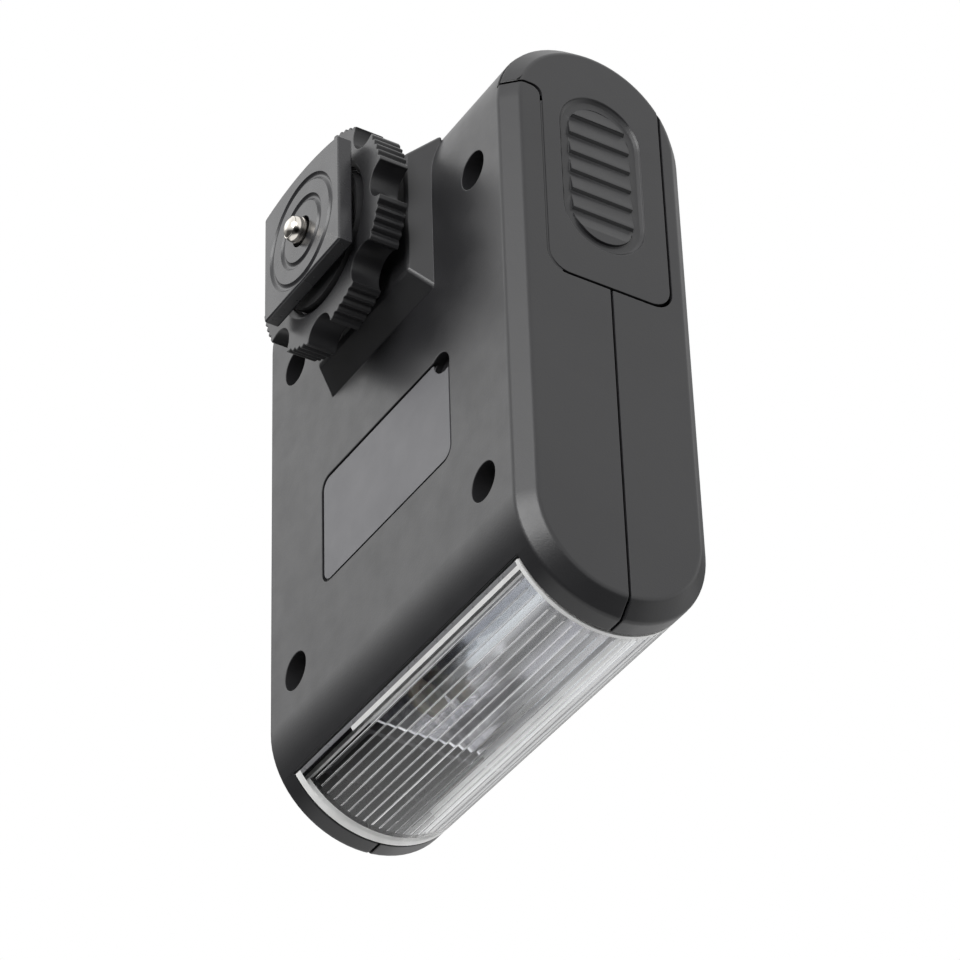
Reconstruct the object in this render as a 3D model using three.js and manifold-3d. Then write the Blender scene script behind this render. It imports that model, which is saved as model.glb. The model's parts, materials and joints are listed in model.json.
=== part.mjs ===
// A compact shoe-mount flash. Millimetres, +Z up. The foot points down, the lens faces -Y,
// the battery door is on the -X end, and the controls are on the top face.
// Every size below is drawn from the centre of the shoe foot's seating face. add() then moves
// each piece along Y, so that the origin is a point on that face's flat material.
import * as THREE from 'three';
import { mergeVertices } from 'three/addons/utils/BufferGeometryUtils.js';
import Module from 'manifold-3d';

const wasm = await Module();
wasm.setup();

// ---------- driving dimensions ----------
const GAP = 0.3; // clearance between neighbouring pieces
const WALL = 1.8; // case wall
const THROUGH = 1; // how far a cutting shape runs past the face it opens
const ROUND_STEPS = 20; // straight pieces in a half circle of the case

const BODY_WIDTH = 60; // along X
const BODY_THICKNESS = 26; // along Z
const BODY_FRONT_Y = -54.9; // centre of the front round
const BODY_BACK_Y = 4.4; // centre of the back round
const BODY_BOTTOM_Z = 11.45; // bottom face above the foot's seating face
const END_BEVEL = 2;
const SEAM_RISE = 13.7; // parting seam above the bottom face

const PEDESTAL_TOP = { halfX: 10.9, front: -11, back: 7.6 };
const PEDESTAL_BASE = { halfX: 12.5, front: -13.7, back: 9.9 };
const PEDESTAL_FACE_Z = 8.55;

const FOOT_WIDTH = 18.6; // standard shoe foot
const FOOT_THICKNESS = 2; // standard shoe foot
const FOOT_FRONT_Y = -8.5;
const FOOT_BACK_Y = 8.2;
const FOOT_BACK_BOW = 1.1; // how far the back edge bulges
const RING_GROOVES = [4.6, 7.4]; // mean radii
const RING_GROOVE_WIDTH = 0.7;
const RING_GROOVE_DEPTH = 0.35;
const STEM_Y = -0.5; // the stem, wheel and contact pin stand a little forward of the foot's centre
const STEM_RADIUS = 6;
const THREAD_PITCH = 1;
const THREAD_DEPTH = 0.4;
const STEM_FLAT_Y = 5.2;
const STEM_TOP_RADIUS = 5.3;
const PIN_BORE_RADIUS = 2;
const PIN_HEAD_RADIUS = 1.7;
const PIN_SHANK_RADIUS = 1.25;
const PIN_PROUD = 2.2;
const PIN_TRAVEL = 1;

const WHEEL_RADIUS = 14.7;
const WHEEL_BOTTOM_Z = 2.85;
const WHEEL_THICKNESS = 4;
const WHEEL_SCALLOPS = 8;
const WHEEL_FIRST_SCALLOP = THREE.MathUtils.degToRad(2.7);
const SCALLOP_RADIUS = 2.7;
const WHEEL_RIBS = 5; // fine ribs between two scallops
const WHEEL_RIB_DEPTH = 0.45;
const WHEEL_RECESS_RADIUS = 9.6;
const WASHER_THICKNESS = 1.6;

const SCREW_X = 21.8;
const SCREW_BACK_Y = -2.2;
const SCREW_FRONT_Y = -49.35;
const SCREW_RECESS_RADIUS = 2.5;

const DOOR_FRONT_Y = -21.15;
const DOOR_STEP_Y = 7.15; // where the door widens into its head
const DOOR_LOW = 5; // seam heights above the bottom face
const DOOR_HIGH = 22.3;
const DOOR_THICKNESS = 2;
const DOOR_LIP = 0.8;

const LENS_HALF_X = 25.5;
const LENS_HALF_ANGLE = THREE.MathUtils.degToRad(59.5);
const LENS_THICKNESS = 1.6;
const LENS_RIBS = 21;
const LENS_RIB_DEPTH = 0.35;

const REFLECTOR_LEFT = -24.6;
const REFLECTOR_RIGHT = 12.5;
const REFLECTOR_HALF_HEIGHT = 7.5;
const REFLECTOR_MOUTH_Y = -60.5;
const REFLECTOR_FOCUS = 1.75;
const REFLECTOR_SHEET = 0.5;
const TUBE_RADIUS = 1.3;

const CELL_RADIUS = 7.1;
const CELL_FRONT_Y = -11.5;
const CELL_BACK_Y = 7.1;
const CELL_OUTER_X = -27.75; // the end next to the door
const CELL_LENGTH = 50.5;
const CELL_NUB_LENGTH = 1;

const BOARD_RISE = 18.4; // circuit board's underside above the bottom face
const BOARD_THICKNESS = 1.6;

// ---------- derived places ----------
const END_X = BODY_WIDTH / 2;
const ROUND_RADIUS = BODY_THICKNESS / 2;
const INNER_RADIUS = ROUND_RADIUS - WALL;
const MIDDLE_Z = BODY_BOTTOM_Z + ROUND_RADIUS;
const SEAM_Z = BODY_BOTTOM_Z + SEAM_RISE;
const TOP_Z = BODY_BOTTOM_Z + BODY_THICKNESS;
const FLOOR_Z = BODY_BOTTOM_Z + WALL; // inside face of the bottom wall
const CEILING_Z = TOP_Z - WALL; // inside face of the top wall
const BOARD_Z = BODY_BOTTOM_Z + BOARD_RISE;
const BOARD_TOP_Z = BOARD_Z + BOARD_THICKNESS;
// On the seating face, ahead of the contact pin and midway between the two ring grooves.
const SEAT_POINT_Y = STEM_Y - (RING_GROOVES[0] + RING_GROOVES[1]) / 2;
const SCREW_PLACES = [
  [-SCREW_X, SCREW_BACK_Y],
  [SCREW_X, SCREW_BACK_Y],
  [-SCREW_X, SCREW_FRONT_Y],
  [SCREW_X, SCREW_FRONT_Y],
];

// ---------- materials ----------
const finish = (color, roughness, metalness = 0) => ({ color, roughness, metalness });
const CASE = finish(0x3a3a3d, 0.55);
const DOOR = finish(0x38383b, 0.55);
const FOOT = finish(0x4a4a4e, 0.35);
const WHEEL = finish(0x2e2e31, 0.5);
const LABEL = finish(0x77777c, 0.6);
const CLEAR = finish(0xdfe4e8, 0.1);
const SILVER = finish(0xd0d2d4, 0.15, 1);
const STEEL = finish(0x9a9a9c, 0.35, 1);
const BRASS = finish(0xb8964f, 0.35, 1);
const GLASS = finish(0xe8ecee, 0.05);
const BLACK_RUBBER = finish(0x1c1c1d, 0.8);
const WHITE_RUBBER = finish(0xe6e2d8, 0.7);
const BOARD = finish(0x2f6b3c, 0.5);
const SLEEVE = finish(0x1b1d24, 0.4);
const FERRITE = finish(0x3b3b3e, 0.75);
const TAPE = finish(0xd8b24a, 0.5);
const CELL = finish(0x8f9296, 0.35, 0.6);
const RED = finish(0xb02020, 0.5);
const ORANGE = finish(0xd9722a, 0.3);
const BLACK = finish(0x222224, 0.5);

// ---------- solids ----------
const object = new THREE.Group();

// The manifold solid of a closed three.js geometry.
function solid(geometry) {
  const bare = geometry.clone();
  bare.deleteAttribute('normal');
  bare.deleteAttribute('uv');
  const merged = mergeVertices(bare, 1e-4);
  return new wasm.Manifold(new wasm.Mesh({
    numProp: 3,
    vertProperties: new Float32Array(merged.attributes.position.array),
    triVerts: new Uint32Array(merged.index.array),
  }));
}

const join = (first, ...others) => others.reduce((a, b) => a.add(b), first);
const cut = (first, ...others) => others.reduce((a, b) => a.subtract(b), first);

// Puts a manifold solid into the object as a named mesh.
function add(name, shape, look) {
  const mesh = shape.getMesh();
  const geometry = new THREE.BufferGeometry();
  geometry.setAttribute('position', new THREE.BufferAttribute(new Float32Array(mesh.vertProperties), 3));
  geometry.setIndex(new THREE.BufferAttribute(new Uint32Array(mesh.triVerts), 1));
  geometry.translate(0, -SEAT_POINT_Y, 0);
  geometry.computeVertexNormals();
  const piece = new THREE.Mesh(geometry, new THREE.MeshStandardMaterial(look));
  piece.name = name;
  object.add(piece);
}

function box([x0, x1], [y0, y1], [z0, z1]) {
  const geometry = new THREE.BoxGeometry(x1 - x0, y1 - y0, z1 - z0);
  return solid(geometry.translate((x0 + x1) / 2, (y0 + y1) / 2, (z0 + z1) / 2));
}

// Turned about Z: profile is a closed run of [radius, z] that starts and ends on the axis.
function turned(profile, x = 0, y = 0, segments = 36) {
  const points = profile.map(([r, z]) => new THREE.Vector2(r, z));
  const geometry = new THREE.LatheGeometry(points, segments).rotateX(Math.PI / 2);
  return solid(geometry).translate([x, y, 0]);
}

function cylinderZ(radius, z0, z1, x = 0, y = 0, segments = 36) {
  const geometry = new THREE.CylinderGeometry(radius, radius, z1 - z0, segments).rotateX(Math.PI / 2);
  return solid(geometry.translate(x, y, (z0 + z1) / 2));
}

function cylinderX(radius, x0, x1, y, z, segments = 28) {
  const geometry = new THREE.CylinderGeometry(radius, radius, x1 - x0, segments).rotateZ(Math.PI / 2);
  return solid(geometry.translate((x0 + x1) / 2, y, z));
}

// A shape drawn in (y, z) and run along X.
function runX(shape, x0, x1, options = {}) {
  const settings = { depth: x1 - x0, bevelEnabled: false, curveSegments: ROUND_STEPS / 2, ...options };
  const geometry = new THREE.ExtrudeGeometry(shape, settings);
  const axes = new THREE.Matrix4().makeBasis(
    new THREE.Vector3(0, 1, 0),
    new THREE.Vector3(0, 0, 1),
    new THREE.Vector3(1, 0, 0),
  );
  return solid(geometry.applyMatrix4(axes).translate(x0, 0, 0));
}

// A shape drawn in (x, y) and run along Z.
function runZ(shape, z0, z1, options = {}) {
  const settings = { depth: z1 - z0, bevelEnabled: false, curveSegments: 6, ...options };
  return solid(new THREE.ExtrudeGeometry(shape, settings).translate(0, 0, z0));
}

// A round wire along a smooth path through the given [x, y, z] points.
function wire(points, radius, steps, sides = 6) {
  const path = new THREE.CatmullRomCurve3(points.map((p) => new THREE.Vector3(...p)));
  return sweep(path, radius, steps, sides);
}

function sweep(path, radius, steps, sides) {
  const section = new THREE.Shape();
  for (let i = 0; i < sides; i++) {
    const angle = (i / sides) * 2 * Math.PI;
    const method = i === 0 ? 'moveTo' : 'lineTo';
    section[method](radius * Math.cos(angle), radius * Math.sin(angle));
  }
  section.closePath();
  return solid(new THREE.ExtrudeGeometry(section, { steps, bevelEnabled: false, extrudePath: path }));
}

// A coil spring along Z from z0 to z1. Its radius may change from one end to the other.
function coil(radius0, radius1, z0, z1, turns, wireRadius) {
  class Helix extends THREE.Curve {
    getPoint(t, target = new THREE.Vector3()) {
      const angle = t * turns * 2 * Math.PI;
      const radius = radius0 + (radius1 - radius0) * t;
      return target.set(radius * Math.cos(angle), radius * Math.sin(angle), z0 + (z1 - z0) * t);
    }
  }
  return sweep(new Helix(), wireRadius, turns * 12, 5);
}

// A rectangle with rounded corners, drawn about its centre.
function roundedRectangle(centreX, centreY, width, height, radius) {
  const shape = new THREE.Shape();
  const right = centreX + width / 2;
  const left = centreX - width / 2;
  const top = centreY + height / 2;
  const bottom = centreY - height / 2;
  shape.moveTo(left + radius, bottom);
  shape.absarc(right - radius, bottom + radius, radius, -Math.PI / 2, 0);
  shape.absarc(right - radius, top - radius, radius, 0, Math.PI / 2);
  shape.absarc(left + radius, top - radius, radius, Math.PI / 2, Math.PI);
  shape.absarc(left + radius, bottom + radius, radius, Math.PI, 1.5 * Math.PI);
  return shape;
}

// Two half circles joined by straight sides: the case's side view, the thumb grip, the cell bay.
function stadium(frontY, backY, z, radius) {
  const shape = new THREE.Shape();
  shape.absarc(backY, z, radius, -Math.PI / 2, Math.PI / 2);
  shape.absarc(frontY, z, radius, Math.PI / 2, 1.5 * Math.PI);
  return shape;
}

const polygon = (points) => new THREE.Shape(points.map(([u, v]) => new THREE.Vector2(u, v)));

// ---------- case ----------
function caseHull() {
  const side = stadium(BODY_FRONT_Y, BODY_BACK_Y, MIDDLE_Z, ROUND_RADIUS);
  return runX(side, -END_X + END_BEVEL, END_X - END_BEVEL, {
    bevelEnabled: true,
    bevelThickness: END_BEVEL,
    bevelSize: END_BEVEL,
    bevelOffset: -END_BEVEL,
    bevelSegments: 1,
  });
}

// The door's outline on the end face; grow moves every edge outwards by that much.
function doorOutline(grow) {
  const low = BODY_BOTTOM_Z + DOOR_LOW - grow;
  const high = BODY_BOTTOM_Z + DOOR_HIGH + grow;
  const front = DOOR_FRONT_Y - grow;
  const step = DOOR_STEP_Y - grow;
  const beyond = BODY_BACK_Y + ROUND_RADIUS + THROUGH;
  const corner = 2.8;
  const shape = new THREE.Shape();
  shape.moveTo(front + corner, low);
  shape.lineTo(step, low);
  shape.lineTo(step, BODY_BOTTOM_Z - THROUGH);
  shape.lineTo(beyond, BODY_BOTTOM_Z - THROUGH);
  shape.lineTo(beyond, high);
  shape.absarc(front + corner, high - corner, corner, Math.PI / 2, Math.PI);
  shape.absarc(front + corner, low + corner, corner, Math.PI, 1.5 * Math.PI);
  return shape;
}

// The lips along the door's long edges, or the grooves they run in when grown by the clearance.
function doorLips(grow) {
  const outer = -END_X + 1.1 - grow;
  const inner = -END_X + DOOR_THICKNESS - 0.3 + grow;
  const low = BODY_BOTTOM_Z + DOOR_LOW;
  const high = BODY_BOTTOM_Z + DOOR_HIGH;
  const front = DOOR_FRONT_Y + 3 - grow;
  const back = BODY_BACK_Y + ROUND_RADIUS + THROUGH;
  const reach = DOOR_LIP + grow;
  return join(
    box([outer, inner], [front, back], [low - reach, low + 1]),
    box([outer, inner], [front, back], [high - 1, high + reach]),
  );
}

// The opening for the lens, as a wedge that runs in from the front.
function lensWedge(halfAngle, halfX) {
  const reach = ROUND_RADIUS * 3;
  const shape = polygon([
    [BODY_FRONT_Y, MIDDLE_Z],
    [BODY_FRONT_Y - reach * Math.cos(halfAngle), MIDDLE_Z + reach * Math.sin(halfAngle)],
    [BODY_FRONT_Y - reach, MIDDLE_Z],
    [BODY_FRONT_Y - reach * Math.cos(halfAngle), MIDDLE_Z - reach * Math.sin(halfAngle)],
  ]);
  return runX(shape, -halfX, halfX);
}

function hollowCase() {
  const cavity = runX(
    stadium(BODY_FRONT_Y, BODY_BACK_Y, MIDDLE_Z, INNER_RADIUS),
    -END_X + DOOR_THICKNESS + 2,
    END_X - 2.2,
  );
  const recess = runX(doorOutline(GAP / 2), -END_X - THROUGH, -END_X + DOOR_THICKNESS + GAP);
  const bay = runX(
    stadium(CELL_FRONT_Y, CELL_BACK_Y, MIDDLE_Z, CELL_RADIUS + GAP),
    -END_X - THROUGH,
    -END_X + 2 * DOOR_THICKNESS + THROUGH,
  );
  return cut(caseHull(), cavity, recess, doorLips(GAP), bay, lensWedge(LENS_HALF_ANGLE, LENS_HALF_X));
}

// The cells' space, cut out of the cradle ribs.
function cellSpace() {
  const reach = END_X - THROUGH;
  const radius = CELL_RADIUS + GAP;
  return join(
    cylinderX(radius, -reach, reach, CELL_FRONT_Y, MIDDLE_Z),
    cylinderX(radius, -reach, reach, CELL_BACK_Y, MIDDLE_Z),
  );
}

// Ribs that hold the cells and the wall between the cells and the circuit, between two heights.
function caseRibs(z0, z1) {
  const inside = runX(
    stadium(BODY_FRONT_Y, BODY_BACK_Y, MIDDLE_Z, INNER_RADIUS + GAP),
    -END_X + DOOR_THICKNESS + 1.8,
    END_X - 2,
  );
  const ribs = [-14.5, 13].map((x) => box([x, x + 1.5], [-20, BODY_BACK_Y + ROUND_RADIUS], [z0, z1]));
  const wall = box([-END_X, 21], [-20.6, -19.4], [z0, z1]);
  const leadNotch = box([2, 4.4], [-21, -19], [0, FLOOR_Z + 2.6]);
  return cut(join(wall, ...ribs), cellSpace(), leadNotch).intersect(inside);
}

// Lips inside the end walls that bridge the parting seam beside the circuit.
function seamLips() {
  const y = [-50, -21];
  const tall = [SEAM_Z - 1.5, SEAM_Z + 1.2];
  const rooted = [SEAM_Z - 1.5, SEAM_Z - GAP];
  const left = -END_X + DOOR_THICKNESS + 2;
  const right = END_X - 2.2;
  return join(
    box([left + GAP, left + 1.2], y, tall),
    box([left - 0.5, left + 1.2], y, rooted),
    box([right - 1.2, right - GAP], y, tall),
    box([right - 1.2, right + 0.5], y, rooted),
  );
}

const HEAD_SEAT_Z = BODY_BOTTOM_Z + 5.2; // underside seat of the case screws' heads
const BOSS_TOP_Z = BODY_BOTTOM_Z + 8.1;
const PLATE = { y: -33, width: 29.6, height: 15.3, corner: 1.5, bite: 2.7 };
const PLATE_RECESS = 0.6;

// The blank plate in the underside. One corner has a curved bite, where a nail lifts it out.
function labelPlate() {
  const outline = roundedRectangle(0, PLATE.y, PLATE.width, PLATE.height, PLATE.corner);
  const plate = runZ(outline, BODY_BOTTOM_Z + 0.1, BODY_BOTTOM_Z + GAP);
  const biteX = -PLATE.width / 2 + 0.6;
  const biteY = PLATE.y + PLATE.height / 2 + 0.3;
  return cut(plate, cylinderZ(PLATE.bite, 0, TOP_Z, biteX, biteY, 24));
}

function bottomShell() {
  const below = box([-40, 40], [-80, 30], [0, SEAM_Z - GAP / 2]);
  const half = hollowCase().intersect(below);
  const ribs = caseRibs(FLOOR_Z - GAP, SEAM_Z - GAP / 2);
  const bosses = SCREW_PLACES.map(([x, y]) => cylinderZ(3.3, FLOOR_Z - GAP, BOSS_TOP_Z, x, y, 24));
  const recesses = SCREW_PLACES.map(([x, y]) => join(
    cylinderZ(SCREW_RECESS_RADIUS, 0, HEAD_SEAT_Z + 1.9, x, y, 28),
    cylinderZ(1.2, 0, BOSS_TOP_Z + THROUGH, x, y, 16),
  ));
  const label = runZ(
    roundedRectangle(0, PLATE.y, PLATE.width + 0.7, PLATE.height + 0.7, PLATE.corner + GAP),
    BODY_BOTTOM_Z - THROUGH,
    BODY_BOTTOM_Z + PLATE_RECESS,
  );
  const stemHole = join(
    cylinderZ(STEM_TOP_RADIUS + GAP, 0, FLOOR_Z + THROUGH, 0, STEM_Y),
    cylinderZ(STEM_RADIUS + GAP, 0, PEDESTAL_FACE_Z + 0.6, 0, STEM_Y),
  );
  return cut(join(half, pedestal(), ribs, seamLips(), ...bosses), ...recesses, label, stemHole);
}

// The tapered block that the foot stands on. It runs a little way into the bottom wall.
function pedestal() {
  const buried = (z) => (z - PEDESTAL_FACE_Z) / (BODY_BOTTOM_Z - PEDESTAL_FACE_Z);
  const bottom = FLOOR_Z - 0.5;
  const base = {};
  for (const side of ['halfX', 'front', 'back']) {
    base[side] = PEDESTAL_TOP[side] + (PEDESTAL_BASE[side] - PEDESTAL_TOP[side]) * buried(bottom);
  }
  const corners = ({ halfX, front, back }) => [
    [-halfX, front], [halfX, front], [halfX, back], [-halfX, back],
  ];
  const points = [
    ...corners(PEDESTAL_TOP).map(([x, y]) => [x, y, PEDESTAL_FACE_Z]),
    ...corners(base).map(([x, y]) => [x, y, bottom]),
  ];
  const faces = [0, 2, 1, 0, 3, 2, 4, 5, 6, 4, 6, 7];
  for (let i = 0; i < 4; i++) {
    const j = (i + 1) % 4;
    faces.push(i, j, j + 4, i, j + 4, i + 4);
  }
  const geometry = new THREE.BufferGeometry();
  geometry.setAttribute('position', new THREE.Float32BufferAttribute(points.flat(), 3));
  geometry.setIndex(faces);
  const block = solid(geometry);
  const hull = runX(stadium(BODY_FRONT_Y, BODY_BACK_Y, MIDDLE_Z, INNER_RADIUS + 0.4), -END_X, END_X);
  return cut(block, hull);
}

const SWITCH = { x: -12, y: -33, slotX: 9.6, slotY: 3.6, travel: 3 };
const BUTTON = { x: 8, y: -33, radius: 3.4, travel: 0.8 };
const LAMP = { x: 16.5, y: -33, radius: 1.6 };
const PANEL = { x: 2, y: -33, width: 44, height: 15, depth: 0.8 };

function topShell() {
  const above = box([-40, 40], [-80, 30], [SEAM_Z + GAP / 2, TOP_Z + 5]);
  const half = hollowCase().intersect(above);
  const ribs = caseRibs(SEAM_Z + GAP / 2, CEILING_Z + GAP);
  const bosses = SCREW_PLACES.map(([x, y]) => (
    cylinderZ(1.75, BOSS_TOP_Z + GAP, CEILING_Z + GAP, x, y, 24)
  ));
  const bores = SCREW_PLACES.map(([x, y]) => cylinderZ(1.2, 0, CEILING_Z - 1.5, x, y, 16));
  const panel = runZ(
    roundedRectangle(PANEL.x, PANEL.y, PANEL.width, PANEL.height, 2),
    TOP_Z - PANEL.depth,
    TOP_Z + THROUGH,
  );
  return cut(join(half, ribs, ...bosses), ...bores, panel, ...controlHoles(0.3));
}

// Slot, button hole and lamp hole through the top wall; the plate's own holes are a bit wider.
function controlHoles(extra) {
  const low = CEILING_Z - 1;
  const high = TOP_Z + THROUGH;
  return [
    runZ(roundedRectangle(SWITCH.x, SWITCH.y, SWITCH.slotX + extra, SWITCH.slotY + extra, 1), low, high),
    cylinderZ(BUTTON.radius + extra, low, high, BUTTON.x, BUTTON.y, 24),
    cylinderZ(LAMP.radius + extra, low, high, LAMP.x, LAMP.y, 16),
  ];
}

function controlPlate() {
  const outline = roundedRectangle(PANEL.x, PANEL.y, PANEL.width - 2 * GAP, PANEL.height - 2 * GAP, 1.8);
  return cut(runZ(outline, TOP_Z - PANEL.depth + GAP, TOP_Z - 0.1), ...controlHoles(0.3));
}

function caseScrew(x, y) {
  const head = HEAD_SEAT_Z;
  return cut(
    turned([
      [0, head - 1.4], [2.0, head - 1.2], [2.0, head + 1.6 - GAP],
      [0.9, head + 1.6 - GAP], [0.9, CEILING_Z - 2], [0, CEILING_Z - 1.9],
    ], x, y, 14),
    box([x - 1.2, x + 1.2], [y - 0.3, y + 0.3], [head - 2, head - 0.6]),
    box([x - 0.3, x + 0.3], [y - 1.2, y + 1.2], [head - 2, head - 0.6]),
  );
}

// ---------- battery door ----------
const GRIP = {
  front: -15.6,
  back: 8.6,
  low: 7.5,
  high: 19.15,
  depth: 0.5,
  firstStep: -10.25,
  pitch: 3,
};

function batteryDoor() {
  const inner = -END_X + DOOR_THICKNESS;
  const plate = runX(doorOutline(-GAP / 2), -END_X - THROUGH, inner);
  const middle = BODY_BOTTOM_Z + (GRIP.low + GRIP.high) / 2;
  const radius = (GRIP.high - GRIP.low) / 2;
  const oval = (ovalRadius) => stadium(GRIP.front + radius, GRIP.back - radius, middle, ovalRadius);
  const dish = runX(oval(radius), -END_X - 1, -END_X + GRIP.depth);
  const pad = runX(oval(radius - 1.3), -END_X, inner - 1);
  const pocket = box([inner - 0.6, inner + 1], [-17.3, 13], [MIDDLE_Z - 6.3, MIDDLE_Z + 6.3]);
  const body = cut(join(plate, doorLips(0)), dish, pocket).intersect(caseHull());
  return join(body, cut(pad, gripTeeth(), box([-40, -END_X + 0.1], [-40, 40], [0, 60])));
}

// Saw-tooth steps across the thumb pad, as the space above them. The steps face the lens.
function gripTeeth() {
  const floor = -END_X + GRIP.depth + 0.1;
  const crest = -END_X + 0.15;
  const points = [[-END_X - 1, -20]];
  for (let y = GRIP.firstStep - 2 * GRIP.pitch; y < GRIP.back; y += GRIP.pitch) {
    points.push([floor, y - 0.12], [crest, y + 0.12]);
  }
  points.push([-END_X - 1, 12]);
  return runZ(polygon(points), MIDDLE_Z - 8, MIDDLE_Z + 8);
}

function doorContactPlate() {
  const inner = -END_X + DOOR_THICKNESS;
  return box([inner - GAP, inner - 0.05], [-17, 12.7], [MIDDLE_Z - 5, MIDDLE_Z + 5]);
}

// ---------- foot, wheel and contact pin ----------
function shoeFoot() {
  const half = FOOT_WIDTH / 2;
  const outline = new THREE.Shape();
  outline.moveTo(-half, FOOT_FRONT_Y);
  outline.lineTo(half, FOOT_FRONT_Y);
  outline.lineTo(half, FOOT_BACK_Y);
  outline.quadraticCurveTo(0, FOOT_BACK_Y + 2 * FOOT_BACK_BOW, -half, FOOT_BACK_Y);
  const plate = runZ(outline, 0.25, FOOT_THICKNESS - 0.25, {
    bevelEnabled: true,
    bevelThickness: 0.25,
    bevelSize: 0.25,
    bevelOffset: -0.25,
    bevelSegments: 1,
  });
  const grooves = RING_GROOVES.map((radius) => ringGroove(radius));
  const bore = turned([
    [0, -1], [PIN_BORE_RADIUS, -1], [PIN_BORE_RADIUS, 1.3], [1.55, 1.3], [1.55, 2.3],
    [2.2, 2.3], [2.2, 9.8], [1.5, 9.8], [1.5, 30], [0, 30],
  ], 0, STEM_Y, 20);
  return cut(join(plate, stem()), bore, ...grooves);
}

// One of the round grooves in the seating face.
function ringGroove(radius) {
  const half = RING_GROOVE_WIDTH / 2;
  const outside = cylinderZ(radius + half, -1, RING_GROOVE_DEPTH, 0, STEM_Y);
  return cut(outside, cylinderZ(radius - half, -2, 1, 0, STEM_Y));
}

// Neck, thread and top of the foot. Two flats along the thread key the pressure washer.
function stem() {
  const threadEnd = PEDESTAL_FACE_Z + GAP;
  const root = STEM_RADIUS - THREAD_DEPTH;
  const profile = [[0, FOOT_THICKNESS - 0.5], [STEM_RADIUS, FOOT_THICKNESS - 0.5]];
  for (let z = 3.2; z < threadEnd - THREAD_PITCH; z += THREAD_PITCH) {
    profile.push([STEM_RADIUS, z], [root, z + 0.3 * THREAD_PITCH]);
    profile.push([root, z + 0.5 * THREAD_PITCH], [STEM_RADIUS, z + 0.8 * THREAD_PITCH]);
  }
  profile.push([STEM_RADIUS, threadEnd], [STEM_TOP_RADIUS, threadEnd], [STEM_TOP_RADIUS, FLOOR_Z + 3.2]);
  profile.push([0, FLOOR_Z + 3.2]);
  const flats = [-1, 1].map((side) => {
    const faces = [side * STEM_FLAT_Y, side * 8].sort((a, b) => a - b);
    return box([-8, 8], faces, [FOOT_THICKNESS, threadEnd]);
  });
  return cut(turned(profile, 0, 0, 28), ...flats).translate([0, STEM_Y, 0]);
}

function footNut() {
  const low = FLOOR_Z + 0.7;
  const geometry = new THREE.CylinderGeometry(8, 8, 2.2, 6).rotateX(Math.PI / 2);
  const hexagon = solid(geometry.translate(0, STEM_Y, low + 1.1));
  return cut(hexagon, cylinderZ(STEM_TOP_RADIUS + GAP, 0, 40, 0, STEM_Y));
}

function contactPin() {
  const shoulder = 2.6;
  const dome = [];
  for (let i = 0; i <= 6; i++) {
    const angle = (i / 6) * (Math.PI / 2);
    dome.push([PIN_HEAD_RADIUS * Math.sin(angle), -PIN_PROUD + 1.6 * (1 - Math.cos(angle))]);
  }
  return turned([
    ...dome,
    [PIN_HEAD_RADIUS, -0.35], [PIN_SHANK_RADIUS, -0.35], [PIN_SHANK_RADIUS, shoulder], [1.9, shoulder],
    [1.9, shoulder + 0.7], [1.1, shoulder + 0.7], [1.1, 7], [0, 7],
  ], 0, STEM_Y, 20);
}

function pinSpring() {
  return coil(1.62, 1.62, 3.6, 9, 5, 0.2).translate([0, STEM_Y, 0]);
}

function pinTerminal() {
  return turned([
    [0, 9.3], [1.9, 9.3], [1.9, 9.5], [1.2, 9.5], [1.2, FLOOR_Z + 4], [0, FLOOR_Z + 4],
  ], 0, STEM_Y, 20);
}

function pressureWasher() {
  const low = WHEEL_BOTTOM_Z - 0.15;
  const hole = cut(
    cylinderZ(STEM_RADIUS + GAP, 0, 10),
    box([-8, 8], [STEM_FLAT_Y + GAP, 8], [-1, 11]),
    box([-8, 8], [-8, -STEM_FLAT_Y - GAP], [-1, 11]),
  );
  const disc = cylinderZ(WHEEL_RECESS_RADIUS - GAP, low, low + WASHER_THICKNESS);
  return cut(disc, hole).translate([0, STEM_Y, 0]);
}

// The wheel's outline: scallops with a run of fine ribs between each pair.
function lockWheel() {
  const outline = [];
  const step = (2 * Math.PI) / WHEEL_SCALLOPS;
  const scallopHalf = 2 * Math.asin(SCALLOP_RADIUS / (2 * WHEEL_RADIUS));
  const at = (radius, angle) => [radius * Math.cos(angle), radius * Math.sin(angle)];
  for (let k = 0; k < WHEEL_SCALLOPS; k++) {
    const centre = WHEEL_FIRST_SCALLOP + k * step;
    const [cx, cy] = at(WHEEL_RADIUS, centre);
    for (let i = 0; i <= 8; i++) {
      const turn = centre - Math.PI / 2 - scallopHalf / 2 - (i / 8) * (Math.PI - scallopHalf);
      const [dx, dy] = at(SCALLOP_RADIUS, turn);
      outline.push([cx + dx, cy + dy]);
    }
    const ribsStart = centre + scallopHalf;
    const ribStep = (step - 2 * scallopHalf) / WHEEL_RIBS;
    for (let i = 0; i < WHEEL_RIBS; i++) {
      const start = ribsStart + i * ribStep;
      outline.push(at(WHEEL_RADIUS, start + 0.25 * ribStep), at(WHEEL_RADIUS, start + 0.6 * ribStep));
      if (i < WHEEL_RIBS - 1) {
        outline.push(at(WHEEL_RADIUS - WHEEL_RIB_DEPTH, start + 0.8 * ribStep));
        outline.push(at(WHEEL_RADIUS - WHEEL_RIB_DEPTH, start + 1.05 * ribStep));
      }
    }
  }
  const top = WHEEL_BOTTOM_Z + WHEEL_THICKNESS;
  const recessTop = WHEEL_BOTTOM_Z - 0.15 + WASHER_THICKNESS + GAP;
  return cut(
    runZ(polygon(outline), WHEEL_BOTTOM_Z, top),
    cylinderZ(STEM_RADIUS + GAP, 0, 10),
    cylinderZ(WHEEL_RECESS_RADIUS, 0, recessTop),
  ).translate([0, STEM_Y, 0]);
}

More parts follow.
